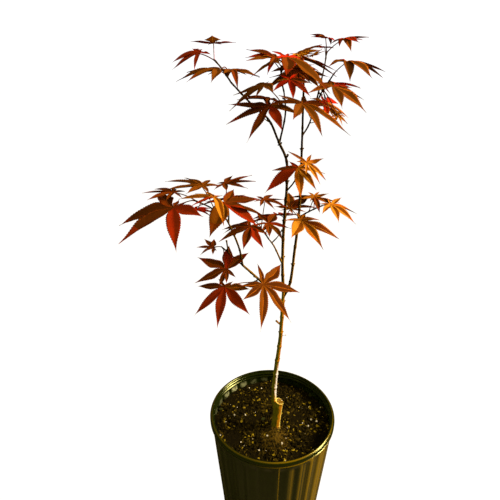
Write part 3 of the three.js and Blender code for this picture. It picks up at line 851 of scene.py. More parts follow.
@dataclass
class NurseryPot:
    """A moulded pot: a tapering fluted wall, a beaded lip and drain holes low in its side."""

    height: float = 170.0
    rim_radius: float = 82.5
    foot_radius: float = 67.5
    wall_top_radius: float = 80.4
    wall: float = 1.6
    floor: float = 2.0
    lip_height: float = 8.0
    lip_thickness: float = 3.2
    flutes: int = 30
    sides_per_flute: int = 8
    flute_depth: float = 1.4
    flute_low: float = 9.0
    flute_high: float = 157.5
    ledges: tuple[float, ...] = (165.4, 160.6)
    seam_x: float = 5.3
    seam_half: float = 1.1
    seam_rise: float = 0.7
    drain_holes: int = 4
    drain_radius: float = 5.0
    drain_height: float = 9.0
    drain_turn: float = 117.0
    # How much painted highlight the seam, the lip's low bead and its top edge get, round which turn the lip's
    # highlights are strongest, and round which turn the painted sunlight falls on the wall.
    seam_highlight_paint: float = 2.2
    lip_turn: float = 30.0
    lip_spread: float = 38.0
    lip_highlight_paint: tuple[float, float] = (0.03, 0.75)
    edge_highlight_paint: tuple[float, float] = (0.2, 0.35)
    sunlit_paint_turn: float = 40.0
    sunlit_paint_spread: float = 34.0

    def wall_radius(self, height: float) -> float:
        """Give the outer radius of the wall at a height."""
        rise = height / (self.height - self.lip_height)
        return self.foot_radius + (self.wall_top_radius - self.foot_radius) * rise

    def outer_profile(self) -> list[tuple[float, float]]:
        """Give the radius and height of each ring outside, from the foot to the lip's top."""
        lip = self.height - self.lip_height
        underside = [(20, 0), (52, 0), (52.6, 0.8), (56, 0.8), (56.6, 0), (self.foot_radius - 1, 0)]
        foot = [(self.foot_radius - 0.3, 0.3), (self.wall_radius(1.2), 1.2)]
        rises = [4, 8, 9.5, 11, 13, 16, *range(30, 141, 14), 146, 149, 151, 152.5, 154, 156, 157, 160, lip]
        wall = [(self.wall_radius(rise), rise) for rise in rises]
        rim = self.rim_radius
        lip_rings = [
            (rim - 1.6, lip + 0.1), (rim - 0.7, lip + 0.3), (rim - 0.1, lip + 0.9), (rim - 0.1, lip + 1.6),
            (rim - 0.9, lip + 2.2), (rim - 0.9, lip + 2.8), (rim - 0.2, lip + 3.4), (rim, lip + 4.0),
            (rim, lip + 5.0), (rim - 0.1, lip + 5.6), (rim - 0.3, lip + 6.1), (rim - 0.6, lip + 6.45),
            (rim - 1.2, lip + 6.95), (rim - 1.8, lip + 7.4), (rim - 2.3, lip + 7.8), (rim - 2.7, lip + 8),
        ]
        return underside + foot + wall + lip_rings

    def inner_profile(self) -> list[tuple[float, float]]:
        """Give the radius and height of each ring inside, from the lip's top to the floor."""
        top = self.rim_radius - self.lip_thickness
        rings = [(top, self.height), (top - 0.6, self.height - 0.3), (top - 1.1, self.height - 0.8)]
        radius = top - 1.1
        for ledge in self.ledges:
            bead = ((0, 1.5), (0.6, 1.05), (1.15, 0.55), (1.4, 0.1), (1.4, -0.3), (0.8, -0.9))
            rings += [(radius - depth, ledge + rise) for depth, rise in bead]
        rises = [156, 154, 152.5, 151, 149, 146, 140, 132, 120, 90, 60, 30, 16, 13, 11, 9.5, 8, 4, self.floor + 0.5]
        rings += [(self.wall_radius(rise) - self.wall, rise) for rise in rises]
        rings += [(self.foot_radius - self.wall - 0.8, self.floor), (40, self.floor), (8, self.floor)]
        return rings

    def turn(self) -> Object:
        """Turn the pot's wall: one ring is drawn out and scaled from the floor round to the floor."""
        sides = self.flutes * self.sides_per_flute
        deselect()
        bpy.ops.mesh.primitive_circle_add(
            vertices=sides, radius=8 * MM, fill_type="NGON", location=(0, 0, 0)
        )
        pot = bpy.context.object
        radius, height = 8.0, 0.0
        only(pot)
        bpy.ops.object.mode_set(mode="EDIT")
        bpy.ops.mesh.select_mode(type="EDGE")
        bpy.ops.mesh.select_all(action="SELECT")
        for next_radius, next_height in self.outer_profile() + self.inner_profile():
            rise = (0, 0, (next_height - height) * MM)
            bpy.ops.mesh.extrude_edges_move(TRANSFORM_OT_translate={"value": rise})
            share = next_radius / radius
            bpy.ops.transform.resize(value=(share, share, 1))
            radius, height = next_radius, next_height
        bpy.ops.mesh.edge_face_add()
        bpy.ops.mesh.select_all(action="SELECT")
        bpy.ops.mesh.normals_make_consistent(inside=False)
        bpy.ops.object.mode_set(mode="OBJECT")
        return pot

    def flute(self, pot: Object) -> None:
        """Press the flutes into the wall, with round upper ends."""
        pitch = 360 / self.flutes
        band = [(self.flute_low, 0.5), (self.flute_high, 0.0)]
        depths = {2: 0.4, 3: 0.9, 4: 1.0, 5: 0.9, 6: 0.4}
        ends = {152.5: 0.9, 154.0: 0.7, 156.0: 0.35, 157.0: 0.1, 11.0: 0.7, 9.5: 0.3}
        low, high = band[0][0], band[1][0]
        with editing(pot):
            for level in [None, *ends]:
                for side, depth in depths.items():
                    share = 1.0 if level is None else ends[level]

                    def inside(places: np.ndarray, level=level, side=side) -> np.ndarray:
                        """Pick the wall's vertices at one side of every flute."""
                        radius = np.hypot(places[:, 0], places[:, 1])
                        angle = np.degrees(np.arctan2(places[:, 0], -places[:, 1]))
                        at_side = np.abs((angle / pitch) % 1 * self.sides_per_flute - side) < 0.2
                        height = places[:, 2]
                        wall = self.foot_radius + 12.9 * height / 162 - self.wall - 0.5
                        on_wall = (radius > wall) & (height > low) & (height < high)
                        ended = np.zeros(len(places), bool)
                        for end in ends:
                            ended |= np.abs(height - end) < 0.2
                        level_ok = ~ended if level is None else np.abs(height - level) < 0.2
                        return at_side & on_wall & level_ok

                    if select_vertices(pot, inside):
                        shrink = 1 - self.flute_depth * depth * share / 74
                        bpy.ops.transform.resize(value=(shrink, shrink, 1), center_override=(0, 0, 0))

    def seam(self, pot: Object) -> None:
        """Raise the thin line where the mould's halves met, at the front and the back."""
        with editing(pot):
            for offset in (-self.seam_half, 0.0, self.seam_half):
                bpy.ops.mesh.select_all(action="SELECT")
                bpy.ops.mesh.bisect(plane_co=((self.seam_x + offset) * MM, 0, 0), plane_no=(1, 0, 0))

            def ridge(places: np.ndarray) -> np.ndarray:
                """Pick the outer wall's vertices on the seam."""
                radius = np.hypot(places[:, 0], places[:, 1])
                outer = radius > self.foot_radius + 12.9 * places[:, 2] / 162 - 1.3
                level = (places[:, 2] > 1) & (places[:, 2] < self.height - self.lip_height)
                return (np.abs(places[:, 0] - self.seam_x) < 0.1) & outer & level

            select_vertices(pot, ridge)
            share = 1 + self.seam_rise / 75
            bpy.ops.transform.resize(value=(share, share, 1), center_override=(0, 0, 0))

    def drill(self, pot: Object) -> None:
        """Cut the drain holes."""
        for hole in range(self.drain_holes):
            turn = math.radians(self.drain_turn + 360 * hole / self.drain_holes)
            radius = self.wall_radius(self.drain_height) - 1
            spot = (radius * math.cos(turn) * MM, radius * math.sin(turn) * MM, self.drain_height * MM)
            deselect()
            bpy.ops.mesh.primitive_cylinder_add(
                vertices=32,
                radius=self.drain_radius * MM,
                depth=12 * MM,
                location=spot,
                rotation=(math.pi / 2, 0, turn + math.pi / 2),
            )
            cutter = bpy.context.object
            modify(pot, "BOOLEAN", operation="DIFFERENCE", object=cutter, solver="EXACT")
            bpy.data.objects.remove(cutter)

    def build(self) -> None:
        """Make and dress the pot."""
        pot = self.turn()
        self.flute(pot)
        self.seam(pot)
        self.drill(pot)
        pot.name = "nursery_pot"
        only(pot)
        bpy.ops.object.shade_smooth_by_angle(angle=math.radians(34))
        pot.data.materials.append(POT_PLASTIC.material())
        self.age(pot)
        settle(pot, "pot_plastic", ["pot"])

    def age(self, pot: Object) -> None:
        """Mark the painted sunlight and painted highlights, and the salts that have dried above the mix inside.

        A share above nought paints sunlight in upright streaks, and one below nought paints an even highlight.

        Args:
            pot: The pot.
        """
        places = np.zeros(len(pot.data.vertices) * 3, np.float32)
        normals = np.zeros(len(pot.data.vertices) * 3, np.float32)
        pot.data.vertices.foreach_get("co", places)
        pot.data.vertex_normals.foreach_get("vector", normals)
        places, normals = places.reshape(-1, 3) / MM, normals.reshape(-1, 3)
        outward = (places[:, :2] * normals[:, :2]).sum(1) > 0
        at_wall = outward & (places[:, 2] < self.height - self.lip_height)
        at_seam = at_wall & (np.abs(places[:, 0] - self.seam_x) < 0.1)
        round_right = np.degrees(np.arctan2(places[:, 0], -places[:, 1]))
        # Painted sunlight on the outer wall, in a window round the right front that faces the key light.
        window = np.exp(-(((round_right - self.sunlit_paint_turn) / self.sunlit_paint_spread) ** 4))
        sunlit_paint = weather(pot, 0.12, 0.5) * at_wall * window
        # The raised seam gets an even painted highlight.
        sunlit_paint[at_seam] = -self.seam_highlight_paint
        # The lip's low bead gets a painted glow and its top edge a painted glint, both strongest round the right front.
        at_lip = outward & (places[:, 2] > self.height - self.lip_height + 0.2)
        bead = np.exp(-(((round_right - self.lip_turn) / self.lip_spread) ** 4))
        low_bead = at_lip & (places[:, 2] < self.height - self.lip_height + 2)
        sunlit_paint[low_bead] = -(self.lip_highlight_paint[0] + self.lip_highlight_paint[1] * bead)[low_bead]
        top_edge = at_lip & (places[:, 2] > self.height - 0.9)
        sunlit_paint[top_edge] = -(self.edge_highlight_paint[0] + self.edge_highlight_paint[1] * bead)[top_edge]
        mark(pot, "weather", sunlit_paint)
        turn = np.degrees(np.arctan2(places[:, 1], places[:, 0])) % 360
        at_flute = np.abs((round_right * self.flutes / 360) % 1 - 0.5) < 0.3
        level = (places[:, 2] > 150) & (places[:, 2] < 156.5)
        share = 0.16 + 0.84 * np.exp(-(((turn - 133) / 13) ** 2))
        share *= (turn > 85) & (turn < 175)
        mark(pot, "salts", share * at_flute * level * ~outward)


# The potting mix


@dataclass
class PottingMix:
    """The fill of the pot, with its crumbs, bark chips, perlite and a fibrous crown of roots."""

    pot: NurseryPot
    level: float = 150.0
    relief: float = 2.2
    foot: tuple[float, float] = (4.0, -10.0)
    level_round_trunk: float = 15.0
    mound: tuple[float, float] = (2.0, -31.0)
    mound_height: float = 8.0
    mound_radius: float = 14.5
    wall_gap: float = 0.2
    rings: int = 44
    sides: int = 120
    crumbs: int = 5200
    chips: int = 1100
    gold_chips: int = 260
    grains: int = 46
    fibres: int = 460
    chip_places: tuple = (
        (35.7, 60.3), (48.8, 62.4), (46.9, 52.1), (-21.0, -0.3), (-46.8, 3.9), (-57.2, 24.9),
        (-67.0, 19.3), (60.5, 8.0), (72.6, 12.1), (46.0, -7.1), (20.9, -18.1), (36.2, -18.7),
        (-42.7, -41.5), (-71.7, -10.5), (-40.8, -12.1), (-34.0, -24.2), (-54.0, 45.5), (-30.9, 52.9),
    )
    grain_places: tuple = (
        (-50.7, 7.1), (-68.3, -24.1), (-18.1, -47.8), (-23.0, -64.5), (-9.4, -48.2), (-47.8, 41.0),
        (-58.1, 7.1), (-56.1, 13.9), (53.2, 1.1), (16.9, -30.7), (-35.5, -59.9),
    )
    moss_places: tuple = ((-10.2, 3.2), (58.2, 49.0), (-70.2, 20.9))

    @property
    def edge(self) -> float:
        """The radius of the fill at its level."""
        return self.pot.wall_radius(self.level) - self.pot.wall - self.wall_gap

    def height(self, x: np.ndarray, y: np.ndarray) -> np.ndarray:
        """Give the height of the fill's surface at places on it."""
        away = np.hypot(x - self.foot[0], y - self.foot[1]) - self.level_round_trunk
        share = np.clip(away / self.level_round_trunk, 0, 1)
        share = share * share * (3 - 2 * share)
        waves = self.relief * np.sin(x / 9 + 1) * np.cos(y / 11 - 0.6)
        off = np.hypot(x - self.mound[0], (y - self.mound[1]) * 0.8) / self.mound_radius
        crown = self.mound_height * np.exp(-(off**2))
        off_trunk = np.hypot(x - self.foot[0], y - self.foot[1])
        skirt = 2.2 * np.exp(-((off_trunk / 15) ** 2))
        return self.level + share * waves + crown + skirt

    def fill(self) -> Object:
        """Make the body of the mix, filling the pot, with a rough top."""
        floor = self.pot.floor + 0.3
        foot = self.pot.wall_radius(floor) - self.pot.wall - 1.4
        deselect()
        bpy.ops.mesh.primitive_circle_add(
            vertices=self.sides, radius=foot * MM, fill_type="NGON", location=(0, 0, floor * MM)
        )
        mix = bpy.context.object
        only(mix)
        bpy.ops.object.mode_set(mode="EDIT")
        bpy.ops.mesh.select_mode(type="FACE")
        bpy.ops.mesh.select_all(action="SELECT")
        rise = (0, 0, (self.level - floor) * MM)
        bpy.ops.mesh.extrude_region_move(TRANSFORM_OT_translate={"value": rise})
        share = self.edge / foot
        bpy.ops.transform.resize(value=(share, share, 1))
        for _ in range(self.rings):
            bpy.ops.mesh.inset(thickness=self.edge / (self.rings + 1) * MM)
        bpy.ops.mesh.select_all(action="SELECT")
        bpy.ops.mesh.normals_make_consistent(inside=False)
        bpy.ops.object.mode_set(mode="OBJECT")
        self.roughen(mix)
        mix.name = "potting_mix"
        mix.data.materials.append(SOIL_DARK.material())
        only(mix)
        bpy.ops.object.shade_smooth_by_angle(angle=math.radians(60))
        return settle(mix, "soil", ["soil"])

    def roughen(self, mix: Object) -> None:
        """Raise the top of the mix to its own relief, and roughen it."""
        places = np.zeros(len(mix.data.vertices) * 3, np.float32)
        mix.data.vertices.foreach_get("co", places)
        places = places.reshape(-1, 3)
        top = places[:, 2] > (self.level - 1) * MM
        places[top, 2] = self.height(places[top, 0] / MM, places[top, 1] / MM) * MM
        mix.data.vertices.foreach_set("co", places.ravel())
        group = mix.vertex_groups.new(name="top")
        group.add([int(index) for index in np.flatnonzero(top)], 1.0, "REPLACE")
        for size, strength in ((0.009, 0.0042), (0.0028, 0.0022)):
            lumps = bpy.data.textures.new("lumps", "CLOUDS")
            lumps.noise_scale = size
            lumps.noise_depth = 3
            settings = {"texture": lumps, "strength": strength, "vertex_group": "top"}
            modify(mix, "DISPLACE", direction="Z", texture_coords="LOCAL", mid_level=0.5, **settings)

    def spots(self, count: int, random: np.random.Generator, reach: float) -> np.ndarray:
        """Strew places evenly over the top, clear of the trunk.

        Args:
            count: How many are drawn.
            random: The row of random numbers.
            reach: The largest distance from the middle.

        Returns:
            The places, one a row.
        """
        radius = reach * np.sqrt(random.random(count))
        angle = 2 * math.pi * random.random(count)
        x, y = radius * np.cos(angle), radius * np.sin(angle)
        clear = np.hypot(x - self.foot[0], y - self.foot[1]) > 9
        x, y = x[clear], y[clear]
        return np.stack([x, y, self.height(x, y)], 1)

    def strew(
        self,
        name: str,
        spots: np.ndarray,
        size: tuple[float, float],
        shape: Place,
        finish: Finish,
        seed: int,
        lift: float = 0.3,
    ) -> None:
        """Lay a rough chip at each spot, each with its own turn, size and broken corners.

        Args:
            name: The piece's name.
            spots: Where the chips lie.
            size: The smallest and largest size.
            shape: The chips' length, width and thickness as shares of their size.
            finish: Their finish.
            seed: Starts their random numbers.
            lift: How far a chip stands out, as a share of its thickness.
        """
        random = np.random.default_rng(seed)
        corners, faces = rough_ball()
        mesh = Mesh()
        for spot in spots:
            scale = size[0] + (size[1] - size[0]) * random.random() ** 2.2
            jitter = 1 + 0.32 * (random.random((len(corners), 1)) - 0.5) * 2
            chip = corners * jitter * np.array(shape) * scale / 2
            tilt = random.normal(0, 0.35, 2)
            chip = chip @ turn_matrix(random.random() * 2 * math.pi, tilt[0], tilt[1]).T
            raised = spot + np.array([0, 0, lift * shape[2] * scale])
            mesh.add(chip + raised, faces)
        piece = mesh.build(name, [finish.material()], smooth=False)
        settle(piece, "soil")

    def root_crown(self) -> None:
        """Lay fine root fibres over the mound before the trunk."""
        random = np.random.default_rng(71)
        mesh = Mesh()
        for _ in range(self.fibres):
            heading = random.random() * 2 * math.pi
            start = np.array(self.mound) + random.normal(0, 7.5, 2)
            length = 5 + 11 * random.random()
            bend = random.normal(0, 1.1)
            steps = np.linspace(0, 1, 7)
            angle = heading + bend * steps
            x = start[0] + length * steps * np.cos(angle)
            y = start[1] + length * steps * np.sin(angle)
            arch = 0.5 + 1.6 * random.random() * np.sin(math.pi * steps)
            points = np.stack([x, y, self.height(x, y) + arch], 1)
            if np.hypot(x, y).max() < self.edge - 4:
                radius = 0.16 + 0.16 * random.random()
                mesh.add(*tube(points, np.full(7, radius) * (1 - 0.5 * steps), 5))
        settle(mesh.build("root_fibres", [FIBRE.material()]), "soil")

    def build(self) -> None:
        """Make and dress the mix and all that lies in it."""
        self.fill()
        random = np.random.default_rng(11)
        reach = self.edge - 1.2
        self.strew("mix_crumbs", self.spots(self.crumbs, random, reach), (1.2, 4.6), (1, 0.85, 0.7), CRUMB, 21)
        self.strew("bark_chips", self.spots(self.chips, random, reach), (2, 8), (1, 0.5, 0.3), CHIP_BROWN, 22)
        gold = np.concatenate([self.spots(self.gold_chips, random, reach), self.on_top(self.chip_places)])
        self.strew("pale_chips", gold, (2.0, 5.8), (1, 0.65, 0.4), CHIP_GOLD, 23, lift=0.5)
        grains = np.concatenate([self.spots(self.grains, random, reach), self.on_top(self.grain_places)])
        self.strew("perlite_grains", grains, (1.4, 3.4), (1, 0.85, 0.8), PERLITE, 24, lift=0.6)
        self.strew("moss_tufts", self.on_top(self.moss_places), (8, 12), (1, 0.6, 0.35), MOSS, 25, lift=0.4)
        self.root_crown()

    def on_top(self, places: Sequence[tuple[float, float]]) -> np.ndarray:
        """Lift places onto the surface of the mix."""
        flat = np.array(places, float)
        return np.column_stack([flat, self.height(flat[:, 0], flat[:, 1])])


def rough_ball() -> tuple[np.ndarray, np.ndarray]:
    """Make the twenty-faced ball that chips are broken from.

    Returns:
        Its vertices at radius 1, and its triangles.
    """
    shape = bmesh.new()
    bmesh.ops.create_icosphere(shape, subdivisions=1, radius=1.0)
    shape.verts.ensure_lookup_table()
    places = np.array([vertex.co for vertex in shape.verts])
    faces = np.array([[vertex.index for vertex in face.verts] for face in shape.faces])
    shape.free()
    return places, faces


def turn_matrix(heading: float, pitch: float, roll: float) -> np.ndarray:
    """Give the matrix that turns by a roll, then a pitch, then a heading, in radians."""
    ch, sh = math.cos(heading), math.sin(heading)
    cp, sp = math.cos(pitch), math.sin(pitch)
    cr, sr = math.cos(roll), math.sin(roll)
    turn = np.array([[ch, -sh, 0], [sh, ch, 0], [0, 0, 1]])
    dip = np.array([[cp, 0, sp], [0, 1, 0], [-sp, 0, cp]])
    lean = np.array([[1, 0, 0], [0, cr, -sr], [0, sr, cr]])
    return turn @ dip @ lean


# The wood


@dataclass(frozen=True)
class Limb:
    """A limb: what carries it, its own places, its radii and the height that it leaves at."""

    carrier: str
    path: tuple[Place, ...]
    radii: tuple[float, float]
    height: float | None = None


LIMBS: dict[str, Limb] = {
    "leader_left": Limb(
        "trunk", ((6.5, -6, 392), (6.6, -3, 433), (8.5, 0, 484), (7.2, 2, 506), (-1, 2, 524)), (2.3, 1.6)
    ),
    "leader_right": Limb(
        "trunk",
        ((15, -7, 366), (19.6, -3, 409), (22.4, 0, 444), (22.5, 2, 501), (20.8, 0, 578)),
        (2.1, 1.2),
        350,
    ),
    "bough_upper_left": Limb("leader_left", ((-11.5, -5, 546), (-27, -11, 560), (-46, -20, 580)), (1.5, 1.0)),
    "bough_upper_middle": Limb("leader_left", ((5, 5, 551), (3, 5, 570)), (1.3, 0.9), 521),
    "bough_upper_right": Limb("leader_right", ((28, 5, 539), (34, 8, 557), (40, 11, 570)), (1.1, 0.9), 528),
    "bough_lower_left": Limb("trunk", ((1, -12, 354), (-20, -22, 382), (-37, -30, 403)), (1.9, 1.5), 342),
    "bough_left_rise": Limb("bough_lower_left", ((-40, -36, 424), (-46, -44, 446), (-51, -50, 461)), (1.4, 1.1)),
    "bough_left_tip": Limb("bough_lower_left", ((-47, -30, 413), (-54, -30, 420)), (1.2, 0.9), 401),
    "bough_centre": Limb("leader_left", ((-4, -12, 417), (-10, -16, 427)), (1.3, 1.0), 391),
}


@dataclass(frozen=True)
class Twiglet:
    """A short bare twig: the limb and height that it leaves, and where it runs to from there."""

    carrier: str
    height: float
    reach: Place
    radius: float = 0.7
    knob: float = 1.0


TWIGLETS: tuple[Twiglet, ...] = (
    Twiglet("bough_left_tip", 418, (-1, -4, 15), 0.9, 1.1),
    Twiglet("bough_lower_left", 384, (-3, -8, 6), 0.7, 1.5),
    Twiglet("bough_lower_left", 372, (-10, -6, -2), 0.6, 1.2),
    Twiglet("leader_right", 444, (-9, -6, 12), 0.6, 1.0),
    Twiglet("bough_upper_left", 543, (-7, -4, 5), 0.55, 0.9),
    Twiglet("bough_upper_right", 541, (7, -3, 4), 0.5, 0.8),
    Twiglet("bough_upper_right", 545, (-3, -4, 5), 0.5, 0.8),
    Twiglet("leader_left", 508, (2, -3, 3), 1.1, 1.6),
    Twiglet("bough_centre", 421, (11, 3, 14), 0.7, 1.0),
    Twiglet("trunk", 300, (6, -3, 1), 0.35, 1.1),
)


@dataclass
class Wood:
    """The trunk, limbs, bare twigs and buds."""

    foot: tuple[float, float] = (4.0, -10.0)
    soil_level: float = 150.3
    limb_scale: float = 0.82
    flare_radius: float = 8.6
    flare_share: float = 0.25
    rootstock_radius: float = 5.6
    rootstock_top: float = 198.0
    stub_slant: float = 18.0
    scion_radius: float = 3.4
    fork_radius: float = 1.9
    snag_height: float = 312.0
    snag_tip: Place = (0.8, -11.0, 321.0)
    snag_radius: float = 1.1
    node_spacing: float = 21.0
    node_swell: float = 0.22
    trunk_voxel: float = 0.5
    limb_voxel: float = 0.42

    def __post_init__(self) -> None:
        """Work out the axis of every limb."""
        x, y = self.foot
        graft = [(x + 1, y, 178), (x - 2.8, y, 202)]
        self.axes: dict[str, Curve] = {
            "trunk": Curve([*graft, (3, -9, 249), (6.6, -9, 291), (7.6, -9, 320), (8.5, -8, 358)])
        }
        for name, limb in LIMBS.items():
            self.axes[name] = rooted(self.axes[limb.carrier], limb.height, limb.path)

    def radii_of(self, name: str) -> tuple[float, float]:
        """Give a limb's radius where it starts and where it ends."""
        if name == "trunk":
            return self.scion_radius, self.fork_radius
        start, end = LIMBS[name].radii
        return start * self.limb_scale, end * self.limb_scale

    def swollen(self, curve: Curve, radii: tuple[float, float], shares: np.ndarray) -> np.ndarray:
        """Give the radius along a limb, with the swellings at its nodes."""
        plain = radii[0] + (radii[1] - radii[0]) * shares
        along = shares * curve.length / self.node_spacing
        off = np.abs(along - np.round(along)) * self.node_spacing
        return plain * (1 + self.node_swell * np.exp(-((off / 1.3) ** 2)))

    def limb_object(self, curve: Curve, radii: np.ndarray, shares: np.ndarray) -> Object:
        """Make a round limb along a curve, through a bevelled path that becomes a mesh."""
        path = bpy.data.curves.new("limb", "CURVE")
        path.dimensions = "3D"
        path.bevel_depth = MM
        path.bevel_resolution = 6
        path.use_fill_caps = True
        spline = path.splines.new("POLY")
        spline.points.add(len(shares) - 1)
        places = curve.at(shares) * MM
        for point, place, radius in zip(spline.points, places, radii):
            point.co = (*place, 1.0)
            point.radius = radius
        obj = bpy.data.objects.new("limb", path)
        bpy.context.scene.collection.objects.link(obj)
        only(obj)
        bpy.ops.object.convert(target="MESH")
        return bpy.context.object

    def whole_limb(self, name: str) -> Object:
        """Make one limb, with its taper and its nodes."""
        curve = self.axes[name]
        shares = np.linspace(0, 1, max(12, int(curve.length / 0.9)))
        return self.limb_object(curve, self.swollen(curve, self.radii_of(name), shares), shares)

    def rootstock(self) -> Object:
        """Make the flared rootstock and cut it off slantwise beside the graft."""
        x, y = self.foot
        foot = self.soil_level
        curve = Curve([(x, y, foot - 3), (x + 1, y, foot + 10), (x + 2, y, 176), (x + 4, y, self.rootstock_top)])
        shares = np.linspace(0, 1, 70)
        flare = (self.flare_radius - self.rootstock_radius) * np.clip(1 - shares / self.flare_share, 0, 1) ** 2
        stock = self.limb_object(curve, self.rootstock_radius + flare, shares)
        slant = math.radians(self.stub_slant)
        with editing(stock):
            bpy.ops.mesh.select_all(action="SELECT")
            bpy.ops.mesh.bisect(
                plane_co=((x + 5) * MM, y * MM, (self.rootstock_top - 2) * MM),
                plane_no=(math.sin(slant), 0, math.cos(slant)),
                clear_outer=True,
                use_fill=True,
            )
        return stock

    def callus(self) -> Object:
        """Make the swollen lip of new wood round the cut."""
        x, y = self.foot
        deselect()
        bpy.ops.mesh.primitive_torus_add(
            major_radius=(self.rootstock_radius - 0.5) * MM,
            minor_radius=0.75 * MM,
            major_segments=48,
            minor_segments=12,
            location=((x + 4.2) * MM, y * MM, (self.rootstock_top - 2.2) * MM),
            rotation=(0, math.radians(self.stub_slant), 0),
        )
        return bpy.context.object

    def snag(self) -> Object:
        """Make the small dry snag high on the trunk."""
        curve = Curve([self.axes["trunk"].at_height(self.snag_height), self.snag_tip])
        shares = np.linspace(0, 1, 12)
        return self.limb_object(curve, self.snag_radius * (1 + 0.25 * shares**3), shares)

    def bark_relief(self, wood: Object, lumps: float, ridges: float) -> None:
        """Raise the bark's lumps and its upright ridges.

        Args:
            wood: The wood, as one closed mesh.
            lumps: The height of the lumps.
            ridges: The height of the ridges.
        """
        deselect()
        bpy.ops.object.empty_add(location=(0, 0, 0))
        stretch = bpy.context.object
        stretch.scale = (1, 1, 3.2)
        bpy.context.view_layer.update()
        for size, strength in ((0.0042, lumps), (0.0013, ridges)):
            cloud = bpy.data.textures.new("bark", "CLOUDS")
            cloud.noise_scale = size
            cloud.noise_depth = 2
            settings = {"texture": cloud, "strength": strength * MM, "texture_coords": "OBJECT"}
            modify(wood, "DISPLACE", texture_coords_object=stretch, mid_level=0.5, **settings)
        bpy.data.objects.remove(stretch)

    def trunk(self) -> None:
        """Make and dress the trunk: rootstock, graft, scion and snag as one skin."""
        pieces = [self.rootstock(), self.callus(), self.whole_limb("trunk"), self.snag()]
        wood = joined("trunk_wood", pieces)
        modify(wood, "REMESH", mode="VOXEL", voxel_size=self.trunk_voxel * MM, adaptivity=0)
        modify(wood, "SMOOTH", factor=0.5, iterations=2)
        self.bark_relief(wood, 0.6, 0.3)
        with editing(wood):
            bpy.ops.mesh.select_all(action="SELECT")
            level = (0, 0, self.soil_level * MM)
            bpy.ops.mesh.bisect(plane_co=level, plane_no=(0, 0, 1), clear_inner=True, use_fill=True)
        for finish in (BARK, CUT_WOOD):
            wood.data.materials.append(finish.material())
        self.mark_cut(wood)
        # Paint sunlight on the side that faces the key light.
        mark(wood, "weather", weather(wood, 0, 1))
        only(wood)
        bpy.ops.object.shade_smooth()
        settle(wood, "bark", ["trunk"])

    def mark_cut(self, wood: Object) -> None:
        """Give the cut end of the rootstock its own finish."""
        slant = math.radians(self.stub_slant)
        normal = np.array([math.sin(slant), 0, math.cos(slant)])
        middle = np.array([self.foot[0] + 5, self.foot[1], self.rootstock_top - 2])
        count = len(wood.data.polygons)
        centres = np.zeros(count * 3, np.float32)
        normals = np.zeros(count * 3, np.float32)
        wood.data.polygons.foreach_get("center", centres)
        wood.data.polygons.foreach_get("normal", normals)
        centres = centres.reshape(-1, 3) / MM
        off = np.abs((centres - middle) @ normal)
        away = np.linalg.norm(centres - middle, axis=1)
        facing = normals.reshape(-1, 3) @ normal
        chosen = (off < 1.1) & (facing > 0.55) & (away < self.rootstock_radius - 0.9)
        wood.data.polygons.foreach_set("material_index", chosen.astype(np.int32))

    def limbs(self) -> None:
        """Make and dress the leaders, the boughs and the bare twigs as one skin."""
        pieces = [self.whole_limb(name) for name in LIMBS]
        pieces += [self.twiglet(twiglet) for twiglet in TWIGLETS]
        wood = joined("limb_wood", pieces)
        modify(wood, "REMESH", mode="VOXEL", voxel_size=self.limb_voxel * MM, adaptivity=0)
        modify(wood, "SMOOTH", factor=0.5, iterations=2)
        self.bark_relief(wood, 0.32, 0.16)
        wood.data.materials.append(YOUNG_BARK.material())
        # Paint sunlight on the side that faces the key light.
        mark(wood, "weather", weather(wood, 0, 1))
        only(wood)
        bpy.ops.object.shade_smooth()
        settle(wood, "young_bark", list(LIMBS))

    def twiglet(self, twiglet: Twiglet) -> Object:
        """Make one bare twig, with a knob at its end."""
        start = self.axes[twiglet.carrier].at_height(twiglet.height)
        end = start + np.array(twiglet.reach)
        middle = (start + end) / 2 + np.array([0.4, -0.3, -0.8])
        shares = np.linspace(0, 1, 16)
        radii = twiglet.radius * (1 - 0.15 * shares)
        radii += (twiglet.knob - 0.85 * twiglet.radius) * np.exp(-(((1 - shares) / 0.1) ** 2))
        return self.limb_object(Curve([start, middle, end]), radii, shares)

    def buds(self) -> None:
        """Make and dress the paired buds at the limbs' nodes."""
        mesh = Mesh()
        random = np.random.default_rng(5)
        for name, curve in self.axes.items():
            radii = self.radii_of(name)
            count = int(curve.length / self.node_spacing)
            for node in range(2 if name == "trunk" else 1, count + 1):
                share = min(0.98, node * self.node_spacing / curve.length)
                here = curve.at(share)
                way = curve.at(min(1, share + 0.01)) - curve.at(share - 0.01)
                way /= np.linalg.norm(way)
                turn = node * math.pi / 2 + random.random() * 0.5
                side = np.array([math.cos(turn), math.sin(turn), 0])
                for sign in (-1, 1):
                    if random.random() < 0.25:
                        continue
                    out = sign * side - way * (sign * side).dot(way)
                    out /= np.linalg.norm(out)
                    lean = 0.75 * out + 0.66 * way
                    radius = radii[0] + (radii[1] - radii[0]) * share
                    size = 0.55 + 0.25 * random.random()
                    steps = np.linspace(0, 1, 7)
                    points = here + out * radius * 0.75 + np.outer(steps, lean) * 3.4 * size
                    mesh.add(*tube(points, size * np.sin(math.pi * (0.12 + 0.86 * steps)) ** 0.8, 10))
        settle(mesh.build("buds", [BUD.material()]), "young_bark")

    def build(self) -> None:
        """Make all the wood."""
        self.trunk()
        self.limbs()
        self.buds()


# The foliage


@dataclass(frozen=True)
class Own:
    """What one lobe has of its own, past the rule that all leaves follow.

    "step" counts the lobe from the middle one, -3 to 3, and left is positive. It is turned and
    raised by degrees, and its length and width are multiplied.
    """

    step: int
    turn: float = 0.0
    stretch: float = 1.0
    rise: float = 0.0
    widen: float = 1.0
    dress: Dress | None = None


